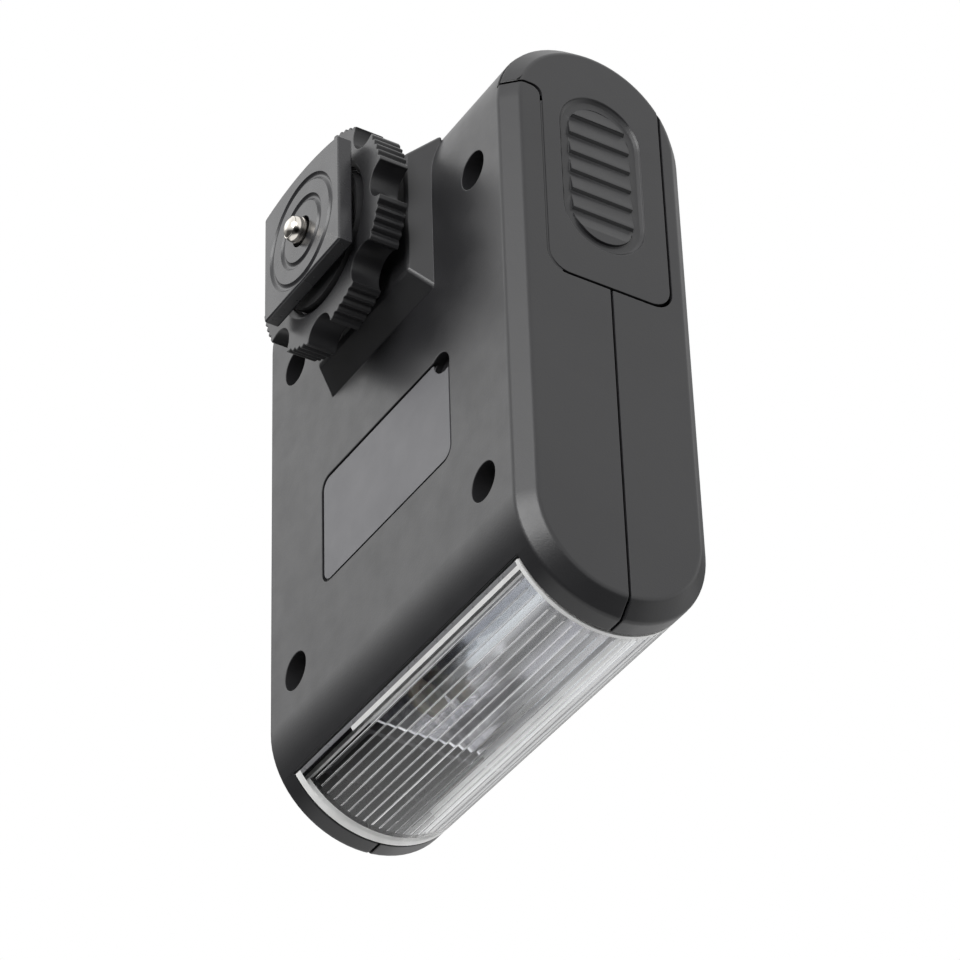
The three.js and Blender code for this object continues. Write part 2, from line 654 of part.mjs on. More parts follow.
// ---------- lens, reflector and tube ----------
function lensCover() {
  const shape = new THREE.Shape();
  const outer = LENS_HALF_ANGLE - GAP / ROUND_RADIUS;
  const at = (radius, angle) => [
    BODY_FRONT_Y - radius * Math.cos(angle),
    MIDDLE_Z + radius * Math.sin(angle),
  ];
  const points = [];
  const outerSteps = 28;
  for (let i = 0; i <= outerSteps; i++) {
    points.push(at(ROUND_RADIUS, -outer + (2 * outer * i) / outerSteps));
  }
  const flangeOuter = INNER_RADIUS - GAP;
  const flangeInner = flangeOuter - 0.9;
  const flangeEnd = outer + 0.09;
  const flangeRoot = outer - 0.06;
  points.push(at(flangeOuter, outer), at(flangeOuter, flangeEnd), at(flangeInner, flangeEnd));
  points.push(at(flangeInner, flangeRoot));
  const inner = ROUND_RADIUS - LENS_THICKNESS;
  const pitch = (2 * flangeRoot) / LENS_RIBS;
  for (let i = 0; i < LENS_RIBS; i++) {
    const start = flangeRoot - i * pitch;
    points.push(at(inner, start), at(inner + LENS_RIB_DEPTH, start - pitch / 2));
  }
  points.push(at(inner, -flangeRoot), at(flangeInner, -flangeRoot));
  points.push(at(flangeInner, -flangeEnd), at(flangeOuter, -flangeEnd), at(flangeOuter, -outer));
  points.forEach(([y, z], i) => (i === 0 ? shape.moveTo(y, z) : shape.lineTo(y, z)));
  return runX(shape, -LENS_HALF_X + GAP, LENS_HALF_X - GAP);
}

const reflectorY = (rise) => REFLECTOR_MOUTH_Y
  + (REFLECTOR_HALF_HEIGHT ** 2 - rise ** 2) / (4 * REFLECTOR_FOCUS);
const TUBE_Y = reflectorY(0) - REFLECTOR_FOCUS;

function reflector() {
  const steps = 16;
  const inside = [];
  const outside = [];
  for (let i = 0; i <= steps; i++) {
    const rise = REFLECTOR_HALF_HEIGHT * (1 - (2 * i) / steps);
    inside.push([reflectorY(rise), MIDDLE_Z + rise]);
    const away = rise * (1 + REFLECTOR_SHEET / REFLECTOR_HALF_HEIGHT);
    outside.push([reflectorY(rise) + REFLECTOR_SHEET, MIDDLE_Z + away]);
  }
  const trough = runX(polygon([...inside, ...outside.reverse()]), REFLECTOR_LEFT, REFLECTOR_RIGHT);
  const end = (x) => runX(polygon(outside), x, x + REFLECTOR_SHEET);
  const seat = (x0, x1) => cylinderX(TUBE_RADIUS + 1.4, x0, x1, TUBE_Y, MIDDLE_Z, 20);
  return cut(
    join(trough, end(REFLECTOR_LEFT), end(REFLECTOR_RIGHT - REFLECTOR_SHEET)),
    seat(REFLECTOR_LEFT - 1, REFLECTOR_LEFT + 3.3),
    seat(REFLECTOR_RIGHT - 1.1, REFLECTOR_RIGHT + 1),
  );
}

function flashTube() {
  const tube = cylinderX(TUBE_RADIUS, REFLECTOR_LEFT + 1.2, REFLECTOR_RIGHT + 5, TUBE_Y, MIDDLE_Z, 20);
  const lead = cylinderX(0.4, REFLECTOR_LEFT - 0.4, REFLECTOR_RIGHT + 7, TUBE_Y, MIDDLE_Z, 8);
  return join(tube, lead);
}

function tubeGrommet(x0, x1) {
  const ring = cylinderX(TUBE_RADIUS + 1.1, x0, x1, TUBE_Y, MIDDLE_Z, 20);
  return cut(ring, cylinderX(TUBE_RADIUS + GAP, x0 - 1, x1 + 1, TUBE_Y, MIDDLE_Z, 20));
}

// The dark box beside the reflector, open to the front, with two windows in its back wall.
function lampBaffle() {
  const left = REFLECTOR_RIGHT + 1;
  const right = 24.4;
  const high = MIDDLE_Z + REFLECTOR_HALF_HEIGHT;
  const low = MIDDLE_Z - REFLECTOR_HALF_HEIGHT;
  const back = BODY_FRONT_Y + 3.2;
  const shell = box([left, right], [REFLECTOR_MOUTH_Y, back], [low, high]);
  const hollow = box([left + 1, right - 1], [REFLECTOR_MOUTH_Y - 1, back - 1], [low + 1, high - 1]);
  const tubeEnd = cylinderX(TUBE_RADIUS + 1.4, left - 1, left + 2, TUBE_Y, MIDDLE_Z, 20);
  const bossNotch = cylinderZ(3.3 + GAP, 0, BOSS_TOP_Z + GAP, SCREW_X, SCREW_FRONT_Y, 24);
  const windows = [-4, 1.5].map((z) => box([left + 5.5, right - 2], [back - 2, back + 1], [
    MIDDLE_Z + z,
    MIDDLE_Z + z + 2.5,
  ]));
  return cut(shell, hollow, tubeEnd, bossNotch, ...windows);
}

// ---------- cells and contacts ----------
// A cell along X; nubSide is -1 with its nub towards the door, +1 away from it.
function cell(y, nubSide) {
  const end = CELL_OUTER_X + CELL_LENGTH;
  const bodyStart = nubSide < 0 ? CELL_OUTER_X + CELL_NUB_LENGTH : CELL_OUTER_X;
  const bodyEnd = nubSide > 0 ? end - CELL_NUB_LENGTH : end;
  const nub = nubSide < 0 ? [CELL_OUTER_X, bodyStart + 1] : [bodyEnd - 1, end];
  return join(
    cylinderX(CELL_RADIUS, bodyStart, bodyEnd, y, MIDDLE_Z, 32),
    cylinderX(2.7, ...nub, y, MIDDLE_Z, 20),
  );
}

const CONTACT_X = CELL_OUTER_X + CELL_LENGTH + GAP;

function batterySpring() {
  const spring = coil(2.4, 4.4, 0, 3.6, 3, 0.35);
  return spring.rotate([0, 90, 0]).translate([CONTACT_X + 0.4, CELL_FRONT_Y, MIDDLE_Z]);
}

function batteryLeafContact() {
  const thick = 0.4;
  const back = END_X - 2.2 - GAP;
  const leaf = polygon([
    [back, CELL_BACK_Y - 4],
    [back, CELL_BACK_Y + 4],
    [back - thick, CELL_BACK_Y + 4],
    [back - thick, CELL_BACK_Y + 2.6],
    [CONTACT_X + thick, CELL_BACK_Y + 0.6],
    [CONTACT_X, CELL_BACK_Y],
    [CONTACT_X + 0.8, CELL_BACK_Y - 1],
    [CONTACT_X + 1.2, CELL_BACK_Y - 0.8],
    [CONTACT_X + thick + 0.3, CELL_BACK_Y],
    [back - thick, CELL_BACK_Y + 2],
    [back - thick, CELL_BACK_Y - 4],
  ]);
  return runZ(leaf, MIDDLE_Z - 3, MIDDLE_Z + 3);
}

// ---------- circuit ----------
const BOARD_FRONT_Y = -46.6;
const BOARD_BACK_Y = -21.4;

function circuitBoard() {
  const middle = (BOARD_FRONT_Y + BOARD_BACK_Y) / 2;
  return runZ(roundedRectangle(0, middle, 50, BOARD_BACK_Y - BOARD_FRONT_Y, 1.5), BOARD_Z, BOARD_TOP_Z);
}

const onBoard = BOARD_Z - GAP; // top of a component that hangs below the board

function mainCapacitor() {
  return join(
    cylinderX(6.5, -22, 14.5, -28.4, BODY_BOTTOM_Z + 10.2, 28),
    cylinderX(6.1, 14, 16, -28.4, BODY_BOTTOM_Z + 10.2, 28),
  );
}

const TRANSFORMER = { x: -15, y: -40.6, halfX: 6, halfY: 4.6, low: BODY_BOTTOM_Z + 6.5 };

function transformerCore() {
  const { x, y, halfX, halfY, low } = TRANSFORMER;
  const block = box([x - halfX, x + halfX], [y - halfY, y + halfY], [low, onBoard]);
  const windows = [-1, 1].map((side) => {
    const faces = [x + side * 1.6, x + side * 4.4].sort((a, b) => a - b);
    return box(faces, [y - 6, y + 6], [low + 1.6, onBoard - 1.6]);
  });
  return cut(block, ...windows);
}

function transformerWinding() {
  const { x, y, halfX, halfY, low } = TRANSFORMER;
  const z = [low + 1.6 + GAP, onBoard - 1.6 - GAP];
  const spool = box([x - 4.4 + GAP, x + 4.4 - GAP], [y - halfY - 1, y + halfY + 1], z);
  const limbY = [y - halfY - 0.3, y + halfY + 0.3];
  return cut(spool, box([x - 1.6 - GAP, x + 1.6 + GAP], limbY, [low, onBoard]));
}

function triggerCoil() {
  const x = 17;
  const top = onBoard;
  return join(cylinderZ(3, top - 10, top, x, -42, 24), cylinderZ(3.6, top - 1, top, x, -42, 24));
}

// Thin leads between the contacts, the board, the trigger coil and the reflector.
function lead(points, radius) {
  return wire(points.map(([x, y, rise]) => [x, y, BODY_BOTTOM_Z + rise]), radius, points.length * 3, 6);
}

const LEADS = {
  battery_lead_positive: [
    0.55,
    [[26.9, 9.5, 16.5], [26.3, 7.5, 19.5], [25.4, -3, 21.8], [25.2, -14, 21.9], [23.6, -24, 20.9]],
  ],
  battery_lead_negative: [
    0.55,
    [[26.9, -17.3, 11.5], [25.4, -18.4, 12.5], [24.2, -20.5, 15], [23.6, -23.4, 17.3]],
  ],
  sync_lead: [
    0.4,
    [
      [0, -1.4, 6.3], [0.6, -5, 6], [1.6, -9.6, 4.6], [3, -16, 3], [3.2, -22, 2.7],
      [3.8, -32, 2.7], [6.2, -36, 4.5], [6.6, -36.2, 12], [6.6, -36.2, 17.6],
    ],
  ],
  trigger_lead: [0.4, [[17, -42, 7.4], [15.5, -45.5, 6.2], [10, -49.5, 9], [7.5, -51, 12.5]]],
};

// A power device with a metal tab: moulded body and three legs in one piece.
function thyristor() {
  const x = 0;
  const y = -41;
  const top = onBoard;
  const legs = [-2.5, 0, 2.5].map((dx) => {
    const middle = x + dx;
    return box([middle - 0.4, middle + 0.4], [y - 0.3, y + 0.3], [top - 3, top]);
  });
  return join(
    box([x - 5, x + 5], [y - 0.8, y + 3.4], [top - 12, top - 2.5]),
    box([x - 4.8, x + 4.8], [y + 2, y + 3.4], [top - 15.5, top - 11.5]),
    ...legs,
  );
}

function oscillatorTransistor() {
  const round = cylinderZ(2.4, onBoard - 5, onBoard, 21.5, -27, 20);
  return cut(round, box([18, 25], [-29.5, -28], [0, 60]));
}

function powerSwitchBody() {
  const { x, y } = SWITCH;
  return cut(
    box([x - 6.5, x + 6.5], [y - 3.4, y + 3.4], [BOARD_TOP_Z + GAP, CEILING_Z - 0.9]),
    box([x - 4.6, x + 4.6], [y - 1.6, y + 1.6], [BOARD_TOP_Z + 1.4, CEILING_Z]),
  );
}

function powerSwitchKnob() {
  const { x, y } = SWITCH;
  const left = x - SWITCH.travel / 2;
  const stemPiece = box([left - 1.5, left + 1.5], [y - 1.1, y + 1.1], [BOARD_TOP_Z + 1.8, TOP_Z - 0.4]);
  const cap = box([left - 2.6, left + 2.6], [y - 1.5, y + 1.5], [TOP_Z - 1.5, TOP_Z + 1]);
  const ridges = [-1.8, -0.6, 0.6, 1.8].map((dx) => box(
    [left + dx - 0.3, left + dx + 0.3],
    [y - 2, y + 2],
    [TOP_Z + 0.7, TOP_Z + 2],
  ));
  return cut(join(stemPiece, cap), ...ridges);
}

function testButton() {
  const { x, y, radius, travel } = BUTTON;
  const low = CEILING_Z - 1.1;
  return turned([
    [0, low], [radius + 0.9, low], [radius + 0.9, CEILING_Z - GAP], [radius, CEILING_Z - GAP],
    [radius, TOP_Z + travel], [radius - 0.6, TOP_Z + travel + 0.5], [0, TOP_Z + travel + 0.3],
  ], x, y, 28);
}

function testButtonSwitch() {
  const { x, y, travel } = BUTTON;
  return box([x - 3, x + 3], [y - 3, y + 3], [BOARD_TOP_Z + GAP, CEILING_Z - 1.1 - travel - GAP]);
}

function readyLamp() {
  const { x, y, radius } = LAMP;
  return turned([
    [0, BOARD_TOP_Z + GAP], [radius, BOARD_TOP_Z + GAP], [radius, TOP_Z - 0.3],
    [radius * 0.7, TOP_Z + 0.1], [0, TOP_Z + 0.3],
  ], x, y, 20);
}

// ---------- the object ----------
add('bottom_shell', bottomShell(), CASE);
add('top_shell', topShell(), CASE);
add('label_plate', labelPlate(), LABEL);
SCREW_PLACES.forEach(([x, y], i) => add(`case_screw_${i + 1}`, caseScrew(x, y), STEEL));
add('battery_door', batteryDoor(), DOOR);
add('door_contact_plate', doorContactPlate(), STEEL);
add('shoe_foot', shoeFoot(), FOOT);
add('foot_nut', footNut(), STEEL);
add('lock_wheel', lockWheel(), WHEEL);
add('pressure_washer', pressureWasher(), BLACK);
add('contact_pin', contactPin(), STEEL);
add('pin_spring', pinSpring(), STEEL);
add('pin_terminal', pinTerminal(), BRASS);
add('lens_cover', lensCover(), CLEAR);
add('reflector', reflector(), SILVER);
add('flash_tube', flashTube(), GLASS);
add('tube_grommet_left', tubeGrommet(REFLECTOR_LEFT + 1.4, REFLECTOR_LEFT + 3), WHITE_RUBBER);
add('tube_grommet_right', tubeGrommet(REFLECTOR_RIGHT - 0.8, REFLECTOR_RIGHT + 2.6), WHITE_RUBBER);
add('lamp_baffle', lampBaffle(), BLACK);
add('battery_front', cell(CELL_FRONT_Y, -1), CELL);
add('battery_back', cell(CELL_BACK_Y, 1), CELL);
add('battery_spring', batterySpring(), STEEL);
add('battery_leaf_contact', batteryLeafContact(), STEEL);
add('circuit_board', circuitBoard(), BOARD);
add('main_capacitor', mainCapacitor(), SLEEVE);
add('transformer_core', transformerCore(), FERRITE);
add('transformer_winding', transformerWinding(), TAPE);
add('trigger_coil', triggerCoil(), ORANGE);
add('thyristor', thyristor(), BLACK);
add('oscillator_transistor', oscillatorTransistor(), BLACK);
for (const [name, [radius, points]] of Object.entries(LEADS)) {
  add(name, lead(points, radius), name.endsWith('positive') ? RED : BLACK);
}
add('power_switch_body', powerSwitchBody(), STEEL);
add('power_switch_knob', powerSwitchKnob(), BLACK);
add('test_button', testButton(), BLACK);
add('test_button_switch', testButtonSwitch(), BLACK);
add('ready_lamp', readyLamp(), ORANGE);
add('control_plate', controlPlate(), BLACK);

export default object;
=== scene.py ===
"""Looks for a compact shoe-mount flash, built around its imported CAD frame.

Shapes are drawn in millimetres in the row frame: the foot's seating face is Z = 0, the lens
faces -Y and the battery door is on the -X end. finished() turns them into metres.
"""

import json
import math
import random

import bmesh
import bpy
from mathutils import Matrix, Vector


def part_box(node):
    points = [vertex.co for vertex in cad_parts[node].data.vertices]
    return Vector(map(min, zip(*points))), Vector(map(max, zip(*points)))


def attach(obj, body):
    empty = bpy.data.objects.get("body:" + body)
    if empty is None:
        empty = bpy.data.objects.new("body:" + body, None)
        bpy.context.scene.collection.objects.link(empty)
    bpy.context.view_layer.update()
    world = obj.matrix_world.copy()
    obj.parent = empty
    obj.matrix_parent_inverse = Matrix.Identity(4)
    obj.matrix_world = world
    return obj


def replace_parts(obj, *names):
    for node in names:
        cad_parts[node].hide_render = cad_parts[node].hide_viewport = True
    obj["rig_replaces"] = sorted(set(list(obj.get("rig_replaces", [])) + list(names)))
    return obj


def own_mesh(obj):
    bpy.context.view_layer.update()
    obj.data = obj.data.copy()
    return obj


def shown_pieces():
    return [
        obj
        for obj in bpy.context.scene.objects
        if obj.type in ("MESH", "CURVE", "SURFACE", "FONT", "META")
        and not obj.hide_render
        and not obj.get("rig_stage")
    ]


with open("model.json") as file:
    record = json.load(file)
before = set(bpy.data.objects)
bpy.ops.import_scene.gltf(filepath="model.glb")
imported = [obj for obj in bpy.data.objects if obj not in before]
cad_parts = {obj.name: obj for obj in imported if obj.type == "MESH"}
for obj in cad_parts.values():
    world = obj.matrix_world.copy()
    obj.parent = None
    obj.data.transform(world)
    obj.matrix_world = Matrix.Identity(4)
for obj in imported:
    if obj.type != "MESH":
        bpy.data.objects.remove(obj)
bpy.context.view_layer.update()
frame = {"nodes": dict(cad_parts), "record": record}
SCENE = bpy.context.scene
MM = 0.001


def span(node):
    """Lowest and highest corners of a CAD node, in millimetres."""
    low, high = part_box(node)
    return low / MM, high / MM


def centre(node):
    """The middle of a CAD node's box, in millimetres."""
    return [(low + high) / 2 for low, high in zip(*span(node))]


# ---------- places taken from the frame ----------
CASE_LOW, CASE_HIGH = span("top_shell")
GAP = 0.3
WALL = 1.8
ROUND = 13.0
END_X = CASE_HIGH.x
TOP_Z = CASE_HIGH.z
BOTTOM_Z = TOP_Z - 2 * ROUND
MIDDLE_Z = TOP_Z - ROUND
FRONT_Y = CASE_LOW.y + ROUND
BACK_Y = CASE_HIGH.y - ROUND
SEAM_Z = MIDDLE_Z + 0.7
FLOOR_Z = BOTTOM_Z + WALL
CEILING_Z = TOP_Z - WALL
INNER = ROUND - WALL
END_BEVEL = 2.0
ARC_STEPS = 36
ALL_X = (-40, 40)  # wider than the object
ALL_Y = (-80, 40)

PIN_Y = centre("contact_pin")[1]
PIN_TIP_Z = span("contact_pin")[0].z
PIN_SHOULDER_Z = 3.3

DOOR_FRONT_Y = span("battery_door")[0].y - GAP / 2
DOOR_STEP_Y = BACK_Y + 2.75
DOOR_LOW = 5.0
DOOR_HIGH = 22.3
DOOR_THICKNESS = 2.0
DOOR_LIP = 0.8
DOOR_CORNER = 2.8
STEP_CORNER = 1.3

CAVITY_LEFT = -END_X + DOOR_THICKNESS + 2
CAVITY_RIGHT = END_X - 2.2

GRIP_FRONT_Y = DOOR_FRONT_Y + 5.55
GRIP_BACK_Y = GRIP_FRONT_Y + 24.2
GRIP_RADIUS = 5.825
GRIP_Z = BOTTOM_Z + 13.325
GRIP_DEPTH = 0.55
TOOTH_PITCH = 3.0
TEETH = 6
FIRST_TOOTH_Y = GRIP_FRONT_Y + 5.35

CELL_RADIUS = 7.1
CELL_YS = [centre(node)[1] for node in ("battery_front", "battery_back")]

SCREWS = [centre(f"case_screw_{number}")[:2] for number in range(1, 5)]
HEAD_SEAT_Z = BOTTOM_Z + 5.2
BOSS_TOP_Z = BOTTOM_Z + 8.1
BOSS_RADIUS = 3.3
HEAD_RADIUS = 2.5
SHANK_RADIUS = 1.2

FOOT_LOW, FOOT_HIGH = span("shoe_foot")
FOOT_THICKNESS = 2.0
FOOT_BOW = 1.1
STEM_RADIUS = 6.0
NECK_RADIUS = 5.3
RING_RADII = (4.6, 7.4)
PEDESTAL_FACE_Z = BOTTOM_Z - 2.9
WHEEL_LOW, WHEEL_HIGH = span("lock_wheel")
WHEEL_RADIUS = 14.7
SCALLOPS = 8
SCALLOP_RADIUS = 2.7
FIRST_SCALLOP = math.radians(2.7)
WHEEL_RIBS = 5

LENS_LOW, LENS_HIGH = span("lens_cover")
LENS_HALF_ANGLE = math.radians(59.5)
LENS_EDGE_ANGLE = LENS_HALF_ANGLE - GAP / ROUND
LENS_RIBS = 20
LENS_END = 0.5
FROSTED = 1.1
MIRROR_LOW, MIRROR_HIGH = span("reflector")
MIRROR_HALF = 7.5
MIRROR_FOCUS = 1.75
TUBE_LOW, TUBE_HIGH = span("flash_tube")
TUBE_Y = centre("flash_tube")[1]
TUBE_RADIUS = 1.3
TUBE_HOLE = TUBE_RADIUS + 1.4

LABEL_LOW, LABEL_HIGH = span("label_plate")
LABEL_X, LABEL_Y = centre("label_plate")[:2]
LABEL_WIDTH = LABEL_HIGH.x - LABEL_LOW.x
LABEL_HEIGHT = LABEL_HIGH.y - LABEL_LOW.y

PANEL_LOW, PANEL_HIGH = span("control_plate")
PANEL_X = centre("control_plate")[0]
PANEL_WIDTH = PANEL_HIGH.x - PANEL_LOW.x
PANEL_HEIGHT = PANEL_HIGH.y - PANEL_LOW.y
BUTTON_LOW, BUTTON_HIGH = span("test_button")
BUTTON_X, BUTTON_Y = centre("test_button")[:2]
BUTTON_RADIUS = 3.4
LAMP_X = centre("ready_lamp")[0]
LAMP_RADIUS = 1.6
KNOB_LOW, KNOB_HIGH = span("power_switch_knob")
KNOB_X = centre("power_switch_knob")[0]
SWITCH_X = centre("power_switch_body")[0]
SLOT_X = 9.6
SLOT_Y = 3.6


# ---------- outlines ----------
def arc(u, v, radius, start, end, steps):
    """Points on an arc, in degrees, both ends included."""
    points = []
    for i in range(steps + 1):
        angle = math.radians(start + (end - start) * i / steps)
        points.append((u + radius * math.cos(angle), v + radius * math.sin(angle)))
    return points


def stadium(low_u, high_u, v, radius, steps=ARC_STEPS):
    """Two half circles centred on (low_u, v) and (high_u, v), joined by straight sides."""
    right = arc(high_u, v, radius, -90, 90, steps)
    left = arc(low_u, v, radius, 90, 270, steps)
    return right + left


def rounded_rectangle(u, v, width, height, radius, steps=6):
    half_u = width / 2 - radius
    half_v = height / 2 - radius
    points = []
    for side_u, side_v, start in ((1, -1, -90), (1, 1, 0), (-1, 1, 90), (-1, -1, 180)):
        points += arc(u + side_u * half_u, v + side_v * half_v, radius, start, start + 90, steps)
    return points


def door_outline(grow):
    """The door's outline on the end face, every edge moved outwards by grow."""
    low = BOTTOM_Z + DOOR_LOW - grow
    high = BOTTOM_Z + DOOR_HIGH + grow
    front = DOOR_FRONT_Y - grow
    step = DOOR_STEP_Y - grow
    beyond = BACK_Y + ROUND + 1
    corner = DOOR_CORNER
    return [
        *reversed(arc(step - STEP_CORNER, low - STEP_CORNER, STEP_CORNER, 0, 90, 6)),
        (step, BOTTOM_Z - 1),
        (beyond, BOTTOM_Z - 1),
        (beyond, high),
        *arc(front + corner, high - corner, corner, 90, 180, 8),
        *arc(front + corner, low + corner, corner, 180, 270, 8),
    ]


# ---------- meshes ----------
AXES = {
    "X": lambda u, v, w: (w, u, v),
    "Y": lambda u, v, w: (u, w, v),
    "Z": lambda u, v, w: (u, v, w),
}


def band(work, one, two, closed=True):
    """A row of faces between two rows of corners."""
    count = len(one)
    for i in range(count if closed else count - 1):
        j = (i + 1) % count
        work.faces.new((one[i], one[j], two[j], two[i]))


def capped(work, loops):
    """A closed solid through loops of corners, with a face on each end."""
    for one, two in zip(loops, loops[1:]):
        band(work, one, two)
    work.faces.new(loops[0])
    work.faces.new(loops[-1])
    return to_object(work)


def loft(rings, axis="X"):
    """A closed solid through rings of (u, v) points, each given with its place along the axis."""
    place = AXES[axis]
    work = bmesh.new()
    return capped(work, [[work.verts.new(place(u, v, w)) for u, v in ring] for w, ring in rings])


def prism(points, low, high, axis="X"):
    return loft([(low, points), (high, points)], axis)


def box(xs, ys, zs):
    corners = [(xs[0], ys[0]), (xs[1], ys[0]), (xs[1], ys[1]), (xs[0], ys[1])]
    return prism(corners, zs[0], zs[1], "Z")


def lathe(profile, u, v, axis="Z", segments=48):
    """A solid turned about the axis through (u, v). The profile is (radius, place) pairs."""
    place = AXES[axis]
    work = bmesh.new()
    loops = []
    for radius, w in profile:
        if radius < 1e-6:
            loops.append([work.verts.new(place(u, v, w))])
            continue
        ring = []
        for i in range(segments):
            angle = 2 * math.pi * i / segments
            du, dv = radius * math.cos(angle), radius * math.sin(angle)
            ring.append(work.verts.new(place(u + du, v + dv, w)))
        loops.append(ring)
    for one, two in zip(loops, loops[1:]):
        if len(one) > 1 and len(two) > 1:
            band(work, one, two)
            continue
        for i in range(segments):
            j = (i + 1) % segments
            if len(one) == 1:
                work.faces.new((one[0], two[j], two[i]))
            else:
                work.faces.new((one[i], one[j], two[0]))
    return to_object(work)


def cylinder(radius, low, high, u, v, axis="Z", segments=48):
    return lathe([(0, low), (radius, low), (radius, high), (0, high)], u, v, axis, segments)


def to_object(work, closed=True):
    """Makes an object of the faces, which are turned outwards if they close a solid."""
    if closed:
        bmesh.ops.recalc_face_normals(work, faces=work.faces)
    mesh = bpy.data.meshes.new("work")
    work.to_mesh(mesh)
    work.free()
    piece = bpy.data.objects.new("work", mesh)
    SCENE.collection.objects.link(piece)
    return piece


def apply_modifiers(piece):
    graph = bpy.context.evaluated_depsgraph_get()
    mesh = bpy.data.meshes.new_from_object(piece.evaluated_get(graph))
    piece.modifiers.clear()
    piece.data = mesh


def combine(piece, tools, operation):
    for tool in tools:
        modifier = piece.modifiers.new("combine", "BOOLEAN")
        modifier.operation = operation
        modifier.solver = "EXACT"
        modifier.object = tool
        apply_modifiers(piece)
        bpy.data.objects.remove(tool)
    return piece


def join(piece, *tools):
    return combine(piece, tools, "UNION")


def cut(piece, *tools):
    return combine(piece, tools, "DIFFERENCE")


def keep(piece, tool):
    return combine(piece, [tool], "INTERSECT")


def copy_of(piece):
    twin = piece.copy()
    twin.data = piece.data.copy()
    SCENE.collection.objects.link(twin)
    return twin


def bevel(piece, width, segments, angle):
    """Adds a modifier that rounds every edge sharper than the angle, in the piece's own units."""
    modifier = piece.modifiers.new("soften", "BEVEL")
    modifier.width = width
    modifier.segments = segments
    modifier.limit_method = "ANGLE"
    modifier.angle_limit = math.radians(angle)
    return modifier


def soften(piece, width, segments=2):
    modifier = bevel(piece, width, segments, 30)
    modifier.use_clamp_overlap = False
    modifier.miter_outer = "MITER_ARC"
    apply_modifiers(piece)
    return piece


def shade_smooth(mesh, angle):
    """Smooth shading, except across edges sharper than the angle."""
    mesh.polygons.foreach_set("use_smooth", [True] * len(mesh.polygons))
    mesh.set_sharp_from_angle(angle=math.radians(angle))


SAME_PLACE = 0.002  # mm
LARGE_AREA = 30.0  # square mm
NEARLY_LEVEL = 0.05  # mm


def merge_flat_faces(piece):
    """Dissolves the edges that the cuts left across flat faces."""
    work = bmesh.new()
    work.from_mesh(piece.data)
    bmesh.ops.remove_doubles(work, verts=work.verts, dist=SAME_PLACE)
    bmesh.ops.dissolve_limit(
        work, angle_limit=math.radians(0.4), verts=work.verts, edges=work.edges, delimit={"NORMAL"}
    )
    work.to_mesh(piece.data)
    work.free()


def level_large_faces(piece, weld):
    """Puts every corner of each large flat face exactly on its plane, and splits the face evenly.
    Corners closer than the weld distance are joined: the rounding leaves folds there."""
    work = bmesh.new()
    work.from_mesh(piece.data)
    bmesh.ops.remove_doubles(work, verts=work.verts, dist=SAME_PLACE)
    bmesh.ops.dissolve_degenerate(work, edges=work.edges, dist=SAME_PLACE)

    def large_faces():
        work.normal_update()
        faces = [face for face in work.faces if face.calc_area() > LARGE_AREA]
        return [face for face in faces if max(map(abs, face.normal)) > 0.9999]

    corners = {vert: None for face in large_faces() for vert in face.verts}
    bmesh.ops.remove_doubles(work, verts=list(corners), dist=max(weld, SAME_PLACE))
    large = large_faces()
    for face in large:
        axis = max(range(3), key=lambda i: abs(face.normal[i]))
        level = sorted(vert.co[axis] for vert in face.verts)[len(face.verts) // 2]
        for vert in face.verts:
            if abs(vert.co[axis] - level) < NEARLY_LEVEL:
                vert.co[axis] = level
    bmesh.ops.triangulate(work, faces=large, ngon_method="BEAUTY")
    close_surface(work)
    work.to_mesh(piece.data)
    work.free()


def close_surface(work):
    """Removes faces that lie back to back on the same corners, and fills the hairline cracks."""
    bmesh.ops.remove_doubles(work, verts=work.verts, dist=SAME_PLACE)
    same_corners = {}
    for face in work.faces:
        same_corners.setdefault(frozenset(face.verts), []).append(face)
    doubled = [face for faces in same_corners.values() if len(faces) > 1 for face in faces]
    bmesh.ops.delete(work, geom=doubled, context="FACES")
    cracks = [edge for edge in work.edges if edge.is_boundary]
    bmesh.ops.holes_fill(work, edges=cracks, sides=0)


def finished(piece, name, body, slot, replaces=None, edge=0.12, look=None, merge=True):
    """Rounds the edges, turns millimetres into metres and fastens the piece to its body.
    The look is the slot's own unless another is named."""
    if merge:
        merge_flat_faces(piece)
    if edge:
        soften(piece, edge)
    level_large_faces(piece, 0.6 * edge)
    shade_smooth(piece.data, 32)
    modifier = piece.modifiers.new("even_normals", "WEIGHTED_NORMAL")
    modifier.keep_sharp = True
    modifier.weight = 80
    apply_modifiers(piece)
    piece.data.transform(Matrix.Scale(MM, 4))
    piece.name = name
    piece.data.name = name
    piece.data.materials.clear()
    piece.data.materials.append(LOOKS[look or slot])
    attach(piece, body)
    if replaces:
        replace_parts(piece, replaces)
    return piece


